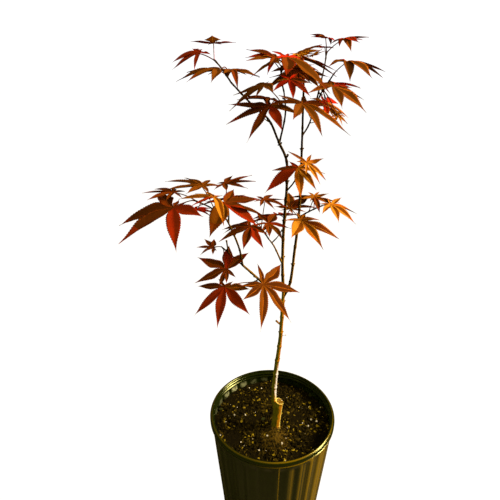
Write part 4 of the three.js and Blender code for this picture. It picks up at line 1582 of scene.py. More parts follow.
@dataclass(frozen=True)
class Leaf:
    """A leaf, as the part places it, with what it wears.

    "along" is where on the stem its stalk starts, "at" the base of its blade, "heading" the way
    of its middle lobe in degrees round from +X, and "droop" how far that lobe dips.
    """

    along: float
    at: Place
    heading: float
    droop: float
    length: float
    dress: Dress
    own: tuple[Own, ...] = ()
    roll: float = 0.0
    spread: float = 1.0
    stalk: Finish = STALK_RED


@dataclass(frozen=True)
class Shoot:
    """A mass of foliage: what carries it, its stem, its leaves and the record's slot for it."""

    carrier: str
    stem: tuple[Place, ...]
    leaves: tuple[Leaf, ...]
    slot: str
    height: float | None = None


OLIVE, DUSKY, DARK, TAWNY = Dress.OLIVE, Dress.DUSKY, Dress.DARK, Dress.TAWNY
MAROON = Dress.MAROON
RED, BROWN, ORANGE, AMBER = Dress.RED, Dress.BROWN, Dress.ORANGE, Dress.AMBER

SHOOTS: dict[str, Shoot] = {
    "foliage_top_left": Shoot(
        "bough_upper_left",
        ((-54, -25, 592), (-60, -27, 599)),
        (
            Leaf(
                1, (-60, -27, 612), 270, -8, 22, MAROON,
                (
                    Own(0, 0, 0.43, 70, 7.4, ORANGE), Own(-1, 0, 0.3, 60, 1.4, ORANGE),
                    Own(1, 0, 0.3, 60, 1.4, ORANGE),
                    Own(-2, 0, 1.2, 14), Own(2, 0, 1.3, 8), Own(-3, 0, 0.8), Own(3, 0, 0.8),
                ),
                stalk=STALK_PALE,
            ),
            Leaf(
                0.9, (-73, -24, 605), 200, 17, 34, MAROON,
                (
                    Own(0, 14, 0.92, 0, 1.5), Own(-1, 14, 0.76, 0, 1.5), Own(1, 20, 0.9, 0, 0.6),
                    Own(2, 38, 0.6, 0, 1, RED), Own(-2, 0, 0.5), Own(3, 0, 0.4), Own(-3, 0, 0.4),
                ),
                roll=-16,
            ),
            Leaf(
                0.35, (-56, -27, 591), 190, -4, 44, OLIVE,
                (
                    Own(0, 4, 0.82, -9), Own(-1, 0, 0.8, -6), Own(1, 0, 1, -8),
                    Own(2, -14, 1.1, -14, 1, OLIVE), Own(-2, 0, 1, 6),
                ),
            ),
            Leaf(
                0.35, (-45, -29, 591), 330, 4, 30, OLIVE,
                (Own(0, 4, 0.84), Own(1, -6, 0.85, -4, 1, DARK), Own(-1, -4, 1.15, -20, 0.7, DUSKY), Own(2, 0, 1, 8)),
            ),
            Leaf(0.6, (-50, 2, 590), 95, 5, 34, BROWN),
        ),
        "leaf_dark",
    ),
    "foliage_top_front": Shoot(
        "bough_upper_middle",
        ((0, -5, 560), (-6, -10, 564)),
        (
            Leaf(
                0.4, (-16, -27, 579), 200, 24, 38, OLIVE,
                (Own(0, 0, 1, 3, 1.2), Own(-1, -2, 0.95, 6), Own(1, 0, 0.55), Own(2, 0, 1, 0, 1.3, BROWN), Own(3, 0, 0.5), Own(-3, 0, 0.6)),
            ),
            Leaf(0.6, (-12, -12, 566), 180, -5, 30, DARK, (Own(0, 0, 1.05, -4), Own(-1, 0, 1, 8), Own(-2, 0, 1, 8))),
            Leaf(
                1, (-11, -24, 561), 243, 30, 41, DARK,
                (
                    Own(0, -15, 1.02, 0, 0.9, DARK), Own(-1, -7, 1.1, 4), Own(1, 1, 0.95, 0, 1.15, MAROON),
                    Own(2, -4, 1.1, 0, 1.1, BROWN), Own(-2, 0, 1.3, 22, 1.2),
                ),
            ),
        ),
        "leaf_dark",
        556,
    ),
    "foliage_top_centre": Shoot(
        "bough_upper_middle",
        ((0, 7, 582), (0, 5, 592)),
        (
            Leaf(
                1, (-6, 6, 600), 180, -12, 30, DARK,
                (Own(0, 0, 0.88, 0, 1.6, MAROON), Own(-1, 18, 1.12, 4, 1.6), Own(1, -18, 1.05, 4, 1.2, BROWN)),
                roll=-16,
            ),
            Leaf(
                0.8, (-6, 4, 598), 200, 28, 32, DARK,
                (
                    Own(0, -2, 0.9, 4, 0.8, AMBER), Own(-1, 0, 0.4), Own(1, 6, 1, 0, 0.8, RED),
                    Own(2, 0, 0.8, 0, 1, ORANGE), Own(-2, 0, 0.5),
                ),
            ),
            Leaf(
                0.9, (3, -14, 601), 310, 25, 40, RED,
                (
                    Own(0, 15, 1.3, 4, 1.2, OLIVE), Own(-1, 0, 0.78, -8, 2.1, DARK), Own(1, 30, 0.55, 0, 1, BROWN),
                    Own(-2, 0, 0.5), Own(2, 0, 0.6), Own(-3, 0, 0.8), Own(3, 0, 0.6),
                ),
            ),
            Leaf(
                1, (12, 2, 600), 345, 6, 42, ORANGE,
                (
                    Own(0, -13, 1, -8, 1.3, BROWN), Own(1, -10, 1.15, 0, 0.8, MAROON), Own(-1, -18, 0.95, -14, 1, DARK),
                    Own(2, -30, 0.7, 4, 1.2, AMBER), Own(-2, 0, 0.6),
                ),
            ),
            Leaf(0.9, (15, 18, 602), 20, -25, 26, ORANGE, (Own(0, 0, 1, 0, 1, BROWN), Own(-1, 0, 1, 0, 1, AMBER))),
            Leaf(
                0.5, (6, -20, 583), 275, 34, 26, RED,
                (
                    Own(0, -2, 0.92, 0, 1.2), Own(-1, -10, 0.9, 6, 1.2), Own(1, 0, 1, 0, 1.2, MAROON),
                    Own(2, -6, 1.1, 14, 1.3, DARK), Own(-2, 0, 0.7, 0, 1, ORANGE),
                ),
            ),
            Leaf(0.7, (14, 32, 590), 65, 20, 36, BROWN),
            Leaf(0.95, (7, 2, 601), 250, 30, 14, AMBER),
            Leaf(0.9, (13, 4, 603), 330, 10, 15, AMBER),
            Leaf(1, (21, 10, 603), 60, -20, 15, AMBER),
            Leaf(0.85, (29, 6, 602), 20, -30, 12, AMBER),
        ),
        "leaf_red",
    ),
    "foliage_top_right_high": Shoot(
        "bough_upper_right",
        ((38, 16, 572), (43, 25, 592), (45, 30, 604)),
        (
            Leaf(
                1, (45, 30, 617), 190, -12, 19, RED,
                (
                    Own(0, 0, 1, 4, 1.7, MAROON), Own(-1, 0, 0.9, 0, 1.6), Own(1, 0, 1, 0, 1.5, ORANGE),
                    Own(-3, -10, 1.4, -36, 1.6, BROWN), Own(3, 0, 1.2, -20),
                ),
            ),
            Leaf(
                1, (58, 24, 616), 350, -6, 27, RED,
                (
                    Own(0, 0, 0.94, 7, 1.6, ORANGE), Own(-1, -6, 1, -8, 1.5), Own(-2, 12, 1.2, -34, 1.4, BROWN),
                    Own(-3, 30, 1.5, -36, 1.3, MAROON), Own(3, 0, 1.3, -8, 1, DARK),
                ),
            ),
            Leaf(0.9, (46, 38, 609), 200, -5, 18, MAROON),
            Leaf(0.5, (22, 46, 592), 100, 25, 32, RED, spread=0.8),
        ),
        "leaf_red",
        556,
    ),
    "foliage_top_right": Shoot(
        "bough_upper_right",
        ((45, 10, 578), (50, 10, 586)),
        (
            Leaf(
                1, (60, 8, 597), 345, 6, 42, BROWN,
                (
                    Own(0, 0, 0.92, 1, 1.2, ORANGE), Own(-1, -12, 1.12, -10, 1.4), Own(-2, 3, 1.4, -30, 1.15, OLIVE),
                    Own(1, -8, 1.1, -8), Own(-3, 0, 1.2, -22, 1, OLIVE), Own(3, 0, 1, 0, 1, RED),
                ),
            ),
            Leaf(
                0.4, (47, -6, 576), 322, 20, 44, BROWN,
                (
                    Own(0, -4, 1, 0, 1.1), Own(1, 8, 0.88, 0, 1.1, OLIVE), Own(-1, -8, 1.02, 0, 0.95, OLIVE),
                    Own(-2, -22, 1.15, 0, 1, ORANGE), Own(2, 0, 1, 8, 1.2, MAROON),
                ),
            ),
            Leaf(0.6, (50, 20, 577), 10, 0, 30, RED),
            Leaf(
                0.1, (42, 7, 561), 325, 28, 33, AMBER,
                (Own(2, 0, 1.3, 0, 1.4, RED), Own(3, 0, 1, 20, 1.3, RED), Own(-2, 0, 1, 0, 1, RED), Own(-1, -12, 0.9, 0, 1, RED)),
            ),
            Leaf(0.05, (45, -2, 556), 300, 35, 13, AMBER),
            Leaf(0.1, (51, 2, 554), 330, 15, 12, AMBER),
            Leaf(0.1, (55, 3, 549), 290, 30, 12, AMBER),
        ),
        "leaf_orange",
    ),
    "foliage_right_front": Shoot(
        "leader_right",
        ((19, -6, 564), (19, -10, 566)),
        (
            Leaf(
                1, (18, -24, 563), 307, 22, 51, BROWN,
                (
                    Own(0, -20, 0.86, 0, 1.1, OLIVE), Own(1, -12, 1.12, -3, 0.95), Own(-1, -13, 0.7, 0, 1.1, OLIVE),
                    Own(-2, -28, 0.85, 0, 1.2, TAWNY), Own(2, -6, 1, 0, 1, DARK), Own(-3, -10, 1, 6),
                ),
            ),
        ),
        "leaf_orange",
        558,
    ),
    "foliage_right_crest": Shoot(
        "leader_right",
        ((21, 2, 583), (20, 6, 586)),
        (
            Leaf(1, (14, -8, 589), 260, 40, 27, DARK, (Own(0, 0, 0.7), Own(1, 0, 0.7), Own(-1, 0, 0.7))),
            Leaf(1, (19, 28, 586), 95, 20, 44, BROWN),
        ),
        "leaf_red",
    ),
    "foliage_middle_right_high": Shoot(
        "leader_left",
        ((15, -8, 486), (18, -14, 497)),
        (
            Leaf(
                1, (23, -34, 512), 300, 42, 27, AMBER,
                (
                    Own(-3, -8, 1.8, 8, 1, BROWN), Own(-2, -20, 0.55), Own(0, 14, 0.9), Own(-1, 8, 0.62),
                    Own(2, 4, 1, 42, 1.4, AMBER), Own(3, 0, 1, 20, 1.3, ORANGE), Own(1, -4, 1),
                ),
            ),
            Leaf(
                0.8, (16, -26, 505), 258, 28, 40, AMBER,
                (
                    Own(-1, -7, 1.1, 0, 1.1, MAROON), Own(-2, 0, 0.85, 0, 1, DARK), Own(0, 12, 1), Own(1, 0, 0.85, 0, 1.1, AMBER),
                    Own(-3, 0, 0.8, 0, 1, MAROON),
                ),
            ),
        ),
        "leaf_orange",
        473,
    ),
    "foliage_middle_right": Shoot(
        "leader_right",
        ((33, -8, 455), (44, -12, 462)),
        (
            Leaf(
                0.5, (35, -16, 474), 280, 35, 20, AMBER,
                (Own(0, 0, 1, 0, 1.2, DARK), Own(-1, 0, 0.5), Own(1, 10, 0.9, 10, 1, BROWN), Own(2, 0, 1, 40, 1.4), Own(-2, 0, 1.2, 20)),
            ),
            Leaf(
                1, (51, -22, 467), 325, 14, 32, AMBER,
                (Own(0, -5, 0.96, 0, 1.2), Own(1, -10, 0.96, 0, 1.2), Own(-1, -4, 1, 0, 1.2), Own(2, 0, 1, 20, 1.2, AMBER)),
            ),
            Leaf(
                0.3, (22, -28, 452), 330, 18, 42, ORANGE,
                (
                    Own(0, 14, 1.02, 0, 1.1), Own(1, 26, 0.8, 0, 1.1, BROWN), Own(-1, 8, 1.08, 0, 1.1),
                    Own(-2, 2, 1.25, 0, 1.5, AMBER), Own(2, 20, 0.6), Own(-3, 0, 1, 0, 1.3, AMBER),
                ),
            ),
            Leaf(0.7, (40, 16, 462), 70, 25, 40, ORANGE),
        ),
        "leaf_orange",
        443,
    ),
    "foliage_middle_centre": Shoot(
        "leader_left",
        ((8, 3, 440), (9, 6, 442)),
        (
            Leaf(
                1, (14, 12, 450), 60, -12, 28, BROWN,
                (Own(1, -6, 1.5, 12, 1.4, BROWN), Own(0, -8, 1.3, 8, 1.3, DARK), Own(-1, -14, 1.1, 0, 1.3, DARK), Own(2, 0, 1.2)),
            ),
            Leaf(0.8, (2, 26, 438), 100, 15, 42, MAROON),
        ),
        "leaf_dark",
        436,
    ),
    "foliage_centre_left": Shoot(
        "bough_centre",
        ((-15, -19, 436), (-19, -22, 442)),
        (
            Leaf(0.9, (-16, -14, 469), 342, 4, 25, DARK, (Own(0, 0, 1, 0, 1.3), Own(1, 0, 1, 6, 1.3), Own(2, 0, 1.3, 8, 1.3), Own(3, 0, 1.3, 0, 1.3))),
            Leaf(
                0.4, (-11, -26, 448), 325, 15, 28, DARK,
                (
                    Own(0, -25, 0.95, 0, 1.2, BROWN), Own(1, 8, 1, 0, 1.2, MAROON), Own(2, 24, 1.5, 8, 1.6),
                    Own(3, 18, 2, 4, 1.4), Own(-1, -8, 0.85, 0, 1.2), Own(-3, 0, 1.2),
                ),
            ),
            Leaf(
                1, (-29, -46, 453), 240, 17, 33, DARK,
                (
                    Own(0, 19, 1.05, 0, 1.15), Own(1, 13, 1, 0, 1.1, MAROON), Own(-1, 8, 1.1, 0, 1.15),
                    Own(-2, 4, 1.4, 0, 1.15), Own(2, 4, 1, 0, 1.1),
                ),
            ),
            Leaf(0.8, (-24, 8, 438), 130, 20, 42, DARK),
        ),
        "leaf_dark",
    ),
    "foliage_left_far": Shoot(
        "bough_left_rise",
        ((-66, -54, 475), (-80, -60, 484)),
        (
            Leaf(
                1, (-97, -70, 480), 220, 14, 58, DUSKY,
                (
                    Own(0, 3, 1, 0, 1.8), Own(-1, -5, 1.03, 0, 1.6), Own(1, 6, 1.08, 0, 0.95, MAROON),
                    Own(2, 2, 0.85, 4, 1.5, MAROON), Own(-2, 4, 1.15, 6, 1.5, DARK), Own(-3, 24, 0.7, 8, 1, DUSKY),
                    Own(3, 10, 0.7, 4, 1, MAROON),
                ),
                spread=1.25,
            ),
            Leaf(0.9, (-100, -46, 487), 180, -6, 30, DARK),
            Leaf(0.4, (-74, -32, 489), 165, -8, 40, BROWN),
            Leaf(0.8, (-78, -68, 478), 0, 0, 18, RED),
        ),
        "leaf_dark",
    ),
    "foliage_left_near": Shoot(
        "bough_left_rise",
        ((-50, -46, 470), (-54, -50, 478)),
        (
            Leaf(0.8, (-54, -24, 489), 0, -10, 32, DARK, (Own(0, 0, 1, 0, 1.3), Own(1, 0, 1, 12, 1.2), Own(2, 0, 1.3, 10))),
            Leaf(
                1, (-61, -70, 490), 188, -6, 30, ORANGE,
                (Own(0, -8, 1, 2, 1.2), Own(2, 30, 1.7, -24, 1, AMBER), Own(1, 0, 0.9, 0, 1, MAROON), Own(-1, 0, 0.7)),
            ),
            Leaf(
                1, (-52, -66, 483), 310, 16, 40, MAROON,
                (
                    Own(0, 16, 1.02, 0, 1.5), Own(-1, -12, 1.2, -6, 1.7, OLIVE), Own(-2, 0, 0.7, 0, 1, MAROON),
                    Own(1, 4, 1, 6, 1.3, DUSKY), Own(2, 8, 1.3, 6, 1.4, DUSKY), Own(3, 0, 1.6, 8, 1.3, DARK),
                ),
            ),
            Leaf(0.6, (-50, -16, 472), 120, 20, 40, MAROON),
        ),
        "leaf_red",
        457,
    ),
    "foliage_low_left": Shoot(
        "bough_left_tip",
        ((-57, -31, 423), (-58, -32, 425)),
        (
            Leaf(
                1, (-67, -30, 423), 175, -6, 18, DARK,
                (Own(-1, -8, 1.25, 14, 1.4), Own(0, 0, 0.95, 0, 1.3), Own(1, 16, 1, -8, 1.3), Own(-2, -6, 1.5, 20, 1.3), Own(2, 16, 1, -12, 1.3)),
            ),
            Leaf(
                0.5, (-53, -45, 406), 190, 5, 36, DARK,
                (
                    Own(0, 12, 1.03, 0, 1.2), Own(-1, -5, 1, 0, 1.3, DARK), Own(1, 16, 0.6, 0, 1.2), Own(2, 0, 0.62, 0, 1.2),
                    Own(3, 0, 0.8, 0, 1.2), Own(-2, -30, 1.15, 0, 1.6, MAROON), Own(-3, -18, 2.1, 0, 1.1, DARK),
                ),
                roll=-35,
            ),
        ),
        "leaf_dark",
    ),
    "foliage_low_front": Shoot(
        "bough_lower_left",
        ((-24, -32, 385), (-28, -38, 387)),
        (
            Leaf(
                0.6, (-16, -50, 391), 314, 38, 46, TAWNY,
                (
                    Own(0, 11, 1.04, 0, 1.05), Own(1, 21, 1.06, 0, 1.05), Own(2, 23, 1.3, 0, 1.05),
                    Own(3, 16, 1.35, 0, 0.95), Own(-1, 4, 1.2), Own(-2, 3, 1, 0, 1.05),
                    Own(-3, 26, 1.35, 0, 0.95),
                ),
                spread=1.1,
            ),
            Leaf(
                1, (-55, -52, 390), 255, 38, 44, DARK,
                (
                    Own(0, 0, 1.02, 0, 1.1, MAROON), Own(1, 12, 0.94, 0, 1.1, MAROON), Own(2, 10, 0.82, 0, 1.2, BROWN),
                    Own(-1, 3, 1, 0, 1.05, MAROON), Own(-2, -6, 1, 0, 1.1), Own(3, 0, 0.6), Own(-3, 0, 0.6),
                ),
            ),
        ),
        "leaf_orange",
        382,
    ),
}


@dataclass(frozen=True)
class Lobe:
    """One lobe of a leaf: its angle from the middle lobe, its length, lift, width and dress."""

    angle: float
    length: float
    rise: float
    widen: float
    dress: Dress


@dataclass
class Blade:
    """The fine shape of a leaf: seven toothed, folded lobes on one thin skin."""

    leaf: Leaf
    random: Callable[[], float]
    fine: np.random.Generator
    angles: tuple = (0.0, 38.0, 80.0, 132.0)
    shares: tuple = (1.0, 0.93, 0.7, 0.44)
    angle_jitter: float = 5.0
    share_jitter: float = 0.07
    half_width: float = 0.112
    notch_reach: float = 0.15
    stalk_notch_reach: float = 0.05
    curl: float = 0.14
    bend_share: float = 0.3
    fold: float = 0.42
    thickness: float = 0.4
    rib_width: float = 0.42
    tooth: float = 0.55
    base_rows: int = 4
    rows: int = 40
    # How far a half lobe must face the key light for the painted-sunlight tint, and for the middle tint; below these it
    # takes the painted-shade tint.
    sun_paint_level: float = 0.86
    half_sun_paint_level: float = 0.46
    tip_starts: tuple = (0.62, 0.95)
    columns: tuple = (0.0, 0.08, 0.3, 0.55, 0.8, 1.0)
    under_columns: tuple = (0, 1, 3, 5)

    def __post_init__(self) -> None:
        """Work out the blade's frame and its lobes."""
        heading, droop, roll = (math.radians(a) for a in (self.leaf.heading, self.leaf.droop, self.leaf.roll))
        ahead = [math.cos(heading) * math.cos(droop), math.sin(heading) * math.cos(droop), -math.sin(droop)]
        self.ahead = np.array(ahead)
        level = np.array([-math.sin(heading), math.cos(heading), 0])
        self.left = level * math.cos(roll) + np.cross(self.ahead, level) * math.sin(roll)
        self.up = np.cross(self.ahead, self.left)
        changes = {own.step: own for own in self.leaf.own}
        self.lobes: list[Lobe] = []
        for step in range(1 - len(self.angles), len(self.angles)):
            place = abs(step)
            sign = (step > 0) - (step < 0)
            turn = sign * self.angles[place] * self.leaf.spread
            angle = turn + self.angle_jitter * (2 * self.random() - 1)
            share = self.shares[place] * (1 + self.share_jitter * (2 * self.random() - 1))
            own = changes.get(step, Own(step))
            self.lobes.append(
                Lobe(
                    math.radians(angle + own.turn),
                    self.leaf.length * share * own.stretch,
                    math.radians(own.rise),
                    own.widen,
                    own.dress or self.leaf.dress,
                )
            )

    def notch(self, index: int) -> tuple[float, float]:
        """Give the angle and reach of the notch to the left of a lobe."""
        last = len(self.lobes) - 1
        index %= len(self.lobes)
        here = self.lobes[index].angle
        there = self.lobes[0].angle + 2 * math.pi if index == last else self.lobes[index + 1].angle
        share = self.stalk_notch_reach if index == last else self.notch_reach
        return (here + there) / 2, share * self.leaf.length

    @staticmethod
    def outline(share: np.ndarray) -> np.ndarray:
        """Give a lobe's width at shares of its length, as a share of its greatest width."""
        return share**1.2 * np.clip(1 - share, 0, 1) ** 1.75 / 0.1362

    def side_edge(self, lobe: Lobe, notch: tuple[float, float], sign: int, width: float) -> tuple:
        """Give one edge of a lobe, in its own frame: how far along and how far out each row is.

        Args:
            lobe: The lobe.
            notch: The angle and reach of the notch on that side.
            sign: 1 on the left and -1 on the right.
            width: The lobe's greatest half width.

        Returns:
            The rows' distances along the lobe and out from its rib.
        """
        turn = abs(math.remainder(notch[0] - lobe.angle, 2 * math.pi))
        start, out = notch[1] * math.cos(turn), notch[1] * math.sin(turn)
        base = np.linspace(0, 1, self.base_rows, endpoint=False)
        share = np.linspace(0, 1, self.rows + 1)
        along = start + (lobe.length - start) * share
        own = width * self.outline(np.clip(along / lobe.length, 0, 1))
        blend = np.clip(1 - share / 0.3, 0, 1) ** 2
        wide = own + (out - own[0]) * blend
        teeth = np.where(np.arange(self.rows + 1) % 2 == 1, 1.0, -0.35)
        strength = np.minimum(self.tooth, 0.16 * wide) * np.sin(math.pi * np.clip(share * 1.15, 0, 1)) ** 0.6
        wide = wide + teeth * strength
        along = along + np.where(teeth > 0, 0.4, 0.0) * (lobe.length - start) / self.rows * (strength > 0)
        wide[-1] = 0.0
        along[-1] = lobe.length
        wide[0] = out
        return np.concatenate([base * start, along]), np.concatenate([base * out, np.maximum(wide, 0)])

    def lobe_sheet(self, index: int) -> tuple[np.ndarray, np.ndarray, np.ndarray]:
        """Lay out a lobe's skin.

        Args:
            index: Which lobe.

        Returns:
            Its upper and lower places, by row and column, and each column's share of the width.
        """
        lobe = self.lobes[index]
        width = self.half_width * lobe.widen * lobe.length * (1 + 0.12 * (self.fine.random() - 0.5))
        bend, twist, dip = self.fine.normal(0, (0.035, 0.16, 0.035))
        phase = self.fine.random() * 6
        left = self.side_edge(lobe, self.notch(index), 1, width)
        right = self.side_edge(lobe, self.notch(index - 1), -1, width)
        rib_along = (left[0] + right[0]) / 2
        shares = np.array([-c for c in reversed(self.columns[1:])] + list(self.columns))
        edge_along = np.where(shares[None, :] < 0, right[0][:, None], left[0][:, None])
        edge_out = np.where(shares[None, :] < 0, right[1][:, None], left[1][:, None])
        reach = np.abs(shares)[None, :]
        ribbed = np.abs(np.abs(shares) - self.columns[1]) < 1e-6
        rib = self.rib_width * np.clip(1 - 0.75 * rib_along / lobe.length, 0.1, 1)
        out = edge_out * reach
        out = np.where(ribbed[None, :], np.minimum(rib[:, None], edge_out * 0.3), out)
        along = rib_along[:, None] + (edge_along - rib_along[:, None]) * reach
        signed = np.sign(shares)[None, :] * out
        free = np.clip((along / lobe.length - 0.16) / 0.3, 0, 1)
        free = free * free * (3 - 2 * free)
        lift = self.fold * out * (1 - 0.25 * free)
        vein = np.cos(2 * math.pi * (along / lobe.length * 11 - out / (0.09 * lobe.length)))
        inner = np.clip(reach * (1 - reach) * 4, 0, 1)
        lift = lift + 0.16 * vein * inner * free
        lift = lift + free * 0.3 * np.sin(along / 4.2 + phase + 1.7 * np.sign(signed)) * reach**2
        lift = lift + free * twist * signed
        lift = lift - dip * lobe.length * free * (along / lobe.length) ** 2
        rib_lift = np.where(np.abs(shares) < 1e-6, 0.18, 0.0)[None, :] * (rib[:, None] / self.rib_width)
        upper = self.placed(lobe, along, signed + bend * lobe.length * free**2, lift + rib_lift)
        depth = self.thickness * (1 - reach**2) * np.clip(edge_out / 2.0, 0.15, 1)
        depth = depth + np.where(np.abs(shares) < 1e-6, 0.45, 0.0)[None, :] * (rib[:, None] / self.rib_width)
        lower = self.placed(lobe, along, signed + bend * lobe.length * free**2, lift - depth)
        return upper, lower, shares

    def placed(self, lobe: Lobe, along: np.ndarray, out: np.ndarray, lift: np.ndarray) -> np.ndarray:
        """Turn places in a lobe's own frame into places in the part's frame.

        Args:
            lobe: The lobe.
            along: How far along the lobe each place is.
            out: How far to its left.
            lift: How far above it.

        Returns:
            The places.
        """
        lift = lift - self.curl * (along**2 + out**2) / self.leaf.length
        root, bend = self.notch_reach * self.leaf.length, self.bend_share * lobe.length
        past = np.maximum(along - root, 0)
        angle = lobe.rise * np.minimum(past / bend, 1)
        turned = np.sinc(angle / 2 / math.pi) * np.minimum(past, bend)
        straight = np.maximum(past - bend, 0)
        along = np.minimum(along, root) + turned * np.cos(angle / 2) + straight * np.cos(angle)
        along = along - lift * np.sin(angle)
        z = turned * np.sin(angle / 2) + straight * np.sin(angle) + lift * np.cos(angle)
        cos, sin = math.cos(lobe.angle), math.sin(lobe.angle)
        x = along * cos - out * sin
        y = along * sin + out * cos
        base = np.array(self.leaf.at, float)
        return base + x[..., None] * self.ahead + y[..., None] * self.left + z[..., None] * self.up

    def painted_light_tint(self, lobe: Lobe, sign: int) -> Tint:
        """Give the tint of half a lobe: painted sunlight where it faces the key light, painted shade where it faces
        away, the middle tint between.
        """
        out = -math.sin(lobe.angle) * self.ahead + math.cos(lobe.angle) * self.left
        way = math.cos(lobe.angle) * self.ahead + math.sin(lobe.angle) * self.left
        normal = self.up - sign * 0.8 * out + 0.18 * way
        sun = float(normal @ np.array(SUN_DIRECTION)) / float(np.linalg.norm(normal))
        dark, middle, bright = lobe.dress.value[:3]
        return bright if sun > self.sun_paint_level else middle if sun > self.half_sun_paint_level else dark

    def add_to(self, mesh: Mesh, tints: dict[Tint, int]) -> None:
        """Add the whole blade to a mesh.

        Args:
            mesh: The mesh.
            tints: The material number of each tint.
        """
        places, faces, colours = [], [], []
        count = 0
        for index, lobe in enumerate(self.lobes):
            upper, lower, shares = self.lobe_sheet(index)
            rows, wide = upper.shape[:2]
            middle = len(self.columns) - 1
            under = [middle - c for c in reversed(self.under_columns[1:])] + [middle + c for c in self.under_columns]
            grid = np.arange(rows * wide).reshape(rows, wide) + count
            top_faces = sheet_faces(grid, False)
            below = np.arange(rows * len(under)).reshape(rows, len(under)) + count + rows * wide
            low_faces = sheet_faces(below, True)
            places += [upper.reshape(-1, 3), lower[:, under].reshape(-1, 3)]
            count += rows * (wide + len(under))
            faces += [top_faces, low_faces]
            tip = self.fine.uniform(*self.tip_starts)
            colours += [
                self.tints_of(lobe, shares, rows - 1, tip, tints),
                self.tints_of(lobe, shares[under], rows - 1, tip, tints),
            ]
        welded, members = np.unique(np.round(np.concatenate(places), 3), axis=0, return_inverse=True)
        faces = members.reshape(-1)[np.concatenate(faces)]
        colours = np.concatenate(colours)
        whole = (faces[:, 0] != faces[:, 1]) & (faces[:, 1] != faces[:, 2]) & (faces[:, 0] != faces[:, 2])
        mesh.add(welded, faces[whole], colours[whole])

    def tints_of(
        self, lobe: Lobe, shares: np.ndarray, rows: int, tip: float, tints: dict[Tint, int]
    ) -> np.ndarray:
        """Give the material number of each triangle of a lobe's sheet.

        Args:
            lobe: The lobe.
            shares: The sheet's columns, as shares of the lobe's half width.
            rows: How many rows of faces the sheet has.
            tip: The share of the lobe's length from which its tip's tint starts.
            tints: The material number of each tint.

        Returns:
            The numbers, two for each face of the grid.
        """
        middles = (shares[1:] + shares[:-1]) / 2
        bright, rim, rib, end = lobe.dress.value[2:]
        row = []
        for place in middles:
            tint = self.painted_light_tint(lobe, 1 if place > 0 else -1)
            # The outer column takes the rim tint: partly the margin's own colour, partly a painted edge highlight.
            row.append(tints[rim if abs(place) > self.columns[-2] else tint])
        grid = np.tile(np.array(row), (rows, 1))
        start = int(rows * tip)
        grid[start:] = tints[end]
        ribbed = np.abs(middles) < self.columns[1]
        grid[:start, ribbed] = tints[rib]
        grid[: rows // 4, ribbed] = tints[bright]
        return np.repeat(grid.ravel(), 2)


def sheet_faces(grid: np.ndarray, under: bool) -> np.ndarray:
    """Give the triangles of a sheet of rows and columns, facing up, or down if it is an underside."""
    a, b = grid[:-1, :-1].ravel(), grid[1:, :-1].ravel()
    c, d = grid[1:, 1:].ravel(), grid[:-1, 1:].ravel()
    faces = np.stack([np.stack([a, b, c], 1), np.stack([a, c, d], 1)], 1).reshape(-1, 3)
    return faces[:, ::-1] if under else faces


